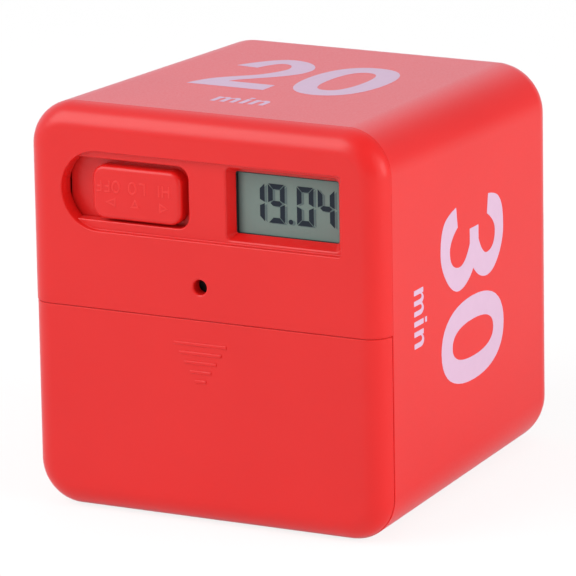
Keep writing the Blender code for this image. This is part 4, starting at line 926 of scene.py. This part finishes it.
def displayLayer(name, depth, shift, thickness, material):
    bars = segmentShapes()
    parts = []
    for character, left in digits["shown"]:
        for segment in litSegments[character]:
            outline = [(left + x + shift[0], digits["base"] + z + shift[1]) for x, z in bars[segment]]
            parts.append(prism(outline, (depth - thickness, depth)))
    dotX, dotZ, dotRadius = digits["dot"]
    parts.append(rod(dotX + shift[0], dotZ + shift[1], dotRadius, (depth - thickness, depth), 24))
    finishPiece(name, joinMeshes(*parts), material, "body")


displayLayer("digit_shadows", digits["front"], digits["shadeShift"], 0.015, segmentShade)
displayLayer("display_digits", digits["front"] - 0.02, (0, 0), 0.02, segmentInk)
print("display digits")


# Cells, springs and screws

cell = {"length": 44.5, "radius": 5.25, "depth": 8.85, "nubRadius": 1.9, "nubLength": 0.8, "nubEnd": 24.1}


def makeCell(name, z, side, replaced):
    length, radius, tip = cell["length"], cell["radius"], cell["nubRadius"]
    shoulder = length - cell["nubLength"]
    profile = [(0, 0.12), (2.6, 0.12), (2.75, 0.0), (radius - 0.9, 0.0), (radius - 0.75, 0.15)]
    profile += [(radius - 0.3, 0.1), (radius - 0.08, 0.2), (radius, 0.45), (radius, shoulder - 0.5)]
    profile += [(radius - 0.08, shoulder - 0.2), (radius - 0.35, shoulder - 0.05), (radius - 0.7, shoulder)]
    profile += [(radius - 0.85, shoulder - 0.2), (tip + 0.25, shoulder - 0.2), (tip, shoulder + 0.05)]
    profile += [(tip, length - 0.15), (tip - 0.15, length), (0, length)]
    made = turned((side * (cell["nubEnd"] - length), cell["depth"], z), (side, 0, 0), profile, 64)
    finishPiece(name, made, cellFilm, "body", [replaced])
    # the two metal ends show inside the film's turned-in edges
    made.data.materials.append(nickelPlate)
    inverse = stance["matrix"].inverted()
    for face in made.data.polygons:
        spot = inverse @ face.center / mm
        if math.hypot(spot.y - cell["depth"], spot.z - z) < radius - 0.72:
            face.material_index = 1


makeCell("cell_lower", compartment["lowerCell"], 1, "battery_lower")
makeCell("cell_upper", compartment["upperCell"], -1, "battery_upper")

spring = {"Turns": 3, "Wide": 3.1, "Narrow": 2.3, "Run": 2.9, "Wire": 0.25}
springFoot = compartment["innerHalf"] - 0.9  # less the contact plate and the play


def springTree():
    # a conical coil: a spiral with a round wire swept along it
    tree, given = startTree("coilSpring", spring)
    spiral = addNode(tree, "GeometryNodeCurveSpiral", {
        "Resolution": 40, "Rotations": given["Turns"], "Height": given["Run"],
        "Start Radius": given["Wide"], "End Radius": given["Narrow"],
    })
    wire = addNode(tree, "GeometryNodeCurvePrimitiveCircle", {"Resolution": 12, "Radius": given["Wire"]})
    return endTree(tree, sweepAlong(tree, spiral, wire), nickelPlate)


coilTree = springTree()
for name, side, z, replaced in (
    ("coil_bridge", -1, compartment["lowerCell"], "bridge_spring"),
    ("coil_negative", 1, compartment["upperCell"], "negative_spring"),
):
    coil = growPiece(coilTree, spring)
    # the wide end rests on the contact plate and the coil runs towards the middle
    toCell = Matrix(((0, 0, 1), (0, 1, 0), (-side, 0, 0))).transposed().to_4x4()
    base = Vector((side * (springFoot - spring["Wire"]), cell["depth"], z)) * mm
    coil.data.transform(Matrix.Translation(base) @ toCell)
    if side < 0:
        coil.data.flip_normals()
    finishPiece(name, coil, nickelPlate, "body", [replaced])
print("cells and springs")

screwHead = {"height": 1.3, "crossReach": 1.0, "crossHalf": 0.24, "crossDepth": 0.65}
screwSizes = {
    "cover": {"head": 1.9, "shank": 1.0, "length": 10.8, "pitch": 0.75},
    "board": {"head": 1.8, "shank": 0.85, "length": 8.0, "pitch": 0.65},
}


def makeScrew(sizes):
    # a pan-head screw along +depth with its head's top at zero
    r, h, shank, length = sizes["head"], screwHead["height"], sizes["shank"], sizes["length"]
    profile = [(0, 0)] + [(r * (1 - left) ** 0.9, h * 0.55 * gone) for gone, left in quarterSteps(8)[1:]]
    profile += [(r, h - 0.1), (r - 0.1, h), (shank * 0.8, h)]
    along, pitch = h + 0.2, sizes["pitch"]
    while along < length - 1.2 * pitch:
        profile += [(shank * 0.78, along), (shank, along + pitch * 0.4), (shank, along + pitch * 0.5)]
        along += pitch
    profile += [(shank * 0.78, length - pitch), (0, length)]
    screw = turned((0, 0, 0), (0, 1, 0), profile, 32)
    reach, half, depths = screwHead["crossReach"], screwHead["crossHalf"], (-1, screwHead["crossDepth"])
    for wide, tall in ((reach, half), (half, reach)):
        cut(screw, block((-wide, wide), depths, (-tall, tall)))
    return screw


def screwTree():
    # puts the same screw at each point
    tree, given = startTree("screwAtPoints", {"Places": "Geometry", "Screw": "Object"})
    screw = addNode(tree, "GeometryNodeObjectInfo", {"Object": given["Screw"]}).outputs["Geometry"]
    points = {"Points": given["Places"], "Instance": screw}
    return endTree(tree, addNode(tree, "GeometryNodeInstanceOnPoints", points), nickelPlate)


screwPlacer = screwTree()


def fitScrews(name, sizes, places, depth, facesBack, replaced):
    template = makeScrew(sizes)
    if facesBack:
        template.data.transform(Matrix.Rotation(math.pi, 4, "Z"))
    fitted = growPiece(screwPlacer, {"Screw": template}, [(x, depth, z) for x, z in places])
    bpy.data.objects.remove(template)
    finishPiece(name, fitted, nickelPlate, "body", replaced)


nodes = ["cover_screw_left", "cover_screw_right"]
fitScrews("cover_screws", screwSizes["cover"], screwPlaces, 2.5, False, nodes)
nodes = ["board_screw_left", "board_screw_right", "board_screw_top"]
fitScrews("board_screws", screwSizes["board"], boardScrews, 11.1, True, nodes)
print("screws")


# Finishes for the nodes that stay as they are

finishes = [
    (blackPlastic, ["switch_slider", "lcd_holder", "buzzer", "tilt_plug_left", "tilt_plug_right"]),
    (nickelPlate, ["switch_frame", "crystal_can", "bridge_contact", "positive_contact", "negative_contact"]),
    (drawnBrass, ["tilt_can_left", "tilt_can_right"]), (polishedSteel, ["tilt_ball_left", "tilt_ball_right"]),
    (phenolicBoard, ["switch_base"]), (displayGrey, ["lcd_panel"]), (contactRubber, ["zebra_strip"]),
    (boardLacquer, ["main_pcb"]), (pottingEpoxy, ["chip_blob"]), (sleeveFilm, ["capacitor"]),
    (redInsulation, ["red_wire"]), (blackInsulation, ["black_wire"]),
]
for material, nodes in finishes:
    for node in nodes:
        for holder in frame["nodes"][node].material_slots:
            holder.material = material
print("finishes on the kept nodes")


# Floor, light and camera

studio = {
    "floor": "#f2f2f2", "floorClear": 0.78, "floorGlow": 0.06, "floorInGloss": 0.4,
    "worldLight": 0.54, "sky": "#e5f3ff", "skyInGloss": 1.14, "rightDim": 0.7, "aim": (0, 0, 32),
}
# size, power and place of each lamp
lamps = {
    "keyBox": (600, 3.4, (-410, -480, 500)),
    "sideBox": (600, 3.2, (745, -65, 275)),
    "edgeBox": (300, 0.8, (741, 120, 160)),
}


def raysThatSee(tree, glossShare=1.0):
    # one for the camera's own rays and those through a glass, a share for a gloss, none for diffuse light
    rays = addNode(tree, "LightPath").outputs
    gloss = addMath(tree, "MULTIPLY", rays["Is Glossy Ray"], glossShare)
    seen = addMath(tree, "ADD", rays["Is Camera Ray"], gloss, True)
    return addMath(tree, "ADD", seen, rays["Is Transmission Ray"], True)


def makeFloor():
    corners = [(-3000, -3000, 0), (3000, -3000, 0), (3000, 3000, 0), (-3000, 3000, 0)]
    floor = makeMesh(corners, [[0, 1, 2, 3]])
    floor.name = "floor"
    floor.location.z = -0.03 * mm
    material = bpy.data.materials.new("palePaperFloor")
    material.use_nodes = True
    tree = material.node_tree
    tree.nodes.clear()
    # white to the eye and in the gloss, with the object's shadow still on it
    seen = raysThatSee(tree, studio["floorInGloss"])
    share = addMath(tree, "MULTIPLY", seen, studio["floorClear"])
    glow = addMath(tree, "MULTIPLY", seen, studio["floorGlow"])
    paper = addNode(tree, "BsdfDiffuse", {"Color": hexColour(studio["floor"])})
    clear = addNode(tree, "BsdfTransparent")
    mixed = addNode(tree, "MixShader", {0: share, 1: paper, 2: clear})
    lit = addNode(tree, "Emission", {"Strength": glow})
    both = addNode(tree, "AddShader", {0: mixed, 1: lit})
    addNode(tree, "OutputMaterial", {"Surface": both})
    floor.data.materials.append(material)


def makeWorld():
    world = bpy.data.worlds.new("softWhiteRoom")
    bpy.context.scene.world = world
    world.use_nodes = True
    tree = world.node_tree
    tree.nodes.clear()
    strength = addRange(tree, raysThatSee(tree), (0, studio["worldLight"]), (1, 1))
    back = addNode(tree, "Background", {"Color": (1, 1, 1, 1), "Strength": strength})
    # in the gloss the room is a cool white that dims towards the right
    way = addNode(tree, "SeparateXYZ", {0: addNode(tree, "TexCoord")})
    start, end = (-0.3, studio["skyInGloss"]), (0.3, studio["skyInGloss"] * (1 - studio["rightDim"]))
    level = addRange(tree, way, start, end, "SMOOTHSTEP")
    room = addNode(tree, "Background", {"Color": hexColour(studio["sky"]), "Strength": level})
    glossy = addNode(tree, "LightPath").outputs["Is Glossy Ray"]
    chosen = addNode(tree, "MixShader", {0: glossy, 1: back, 2: room})
    addNode(tree, "OutputWorld", {"Surface": chosen})


def addLamp(name, size, power, place):
    data = bpy.data.lights.new(name, "AREA")
    data.size, data.energy = size * mm, power
    lamp = placeObject(name, data)
    turn = (Vector(place) - Vector(studio["aim"])).to_track_quat("Z", "Y").to_matrix().to_4x4()
    lamp.matrix_world = Matrix.Translation(Vector(place) * mm) @ turn
    # the one at the right fills that side and leaves no glare on it
    lamp.visible_glossy = name != "sideBox"


makeFloor()
makeWorld()
for name, settings in lamps.items():
    addLamp(name, *settings)

view = {
    "place": (423.13, -773.62, 263.45), "lens": 375.48,
    "right": (0.88619106, 0.46301507, -0.01680647), "up": (-0.10060152, 0.22770224, 0.96852002),
    "back": (0.45226623, -0.85660302, 0.24836771),
}
lens = bpy.data.cameras.new("camera")
lens.lens = view["lens"]
lens.clip_start, lens.clip_end = 0.05, 20
camera = placeObject("camera", lens)
facing = Matrix([view[key] for key in ("right", "up", "back")]).transposed().to_4x4()
camera.matrix_world = stance["matrix"] @ Matrix.Translation(Vector(view["place"]) * mm) @ facing
bpy.context.scene.camera = camera
bpy.context.scene.view_settings.view_transform = "Standard"
print("floor, light and camera")
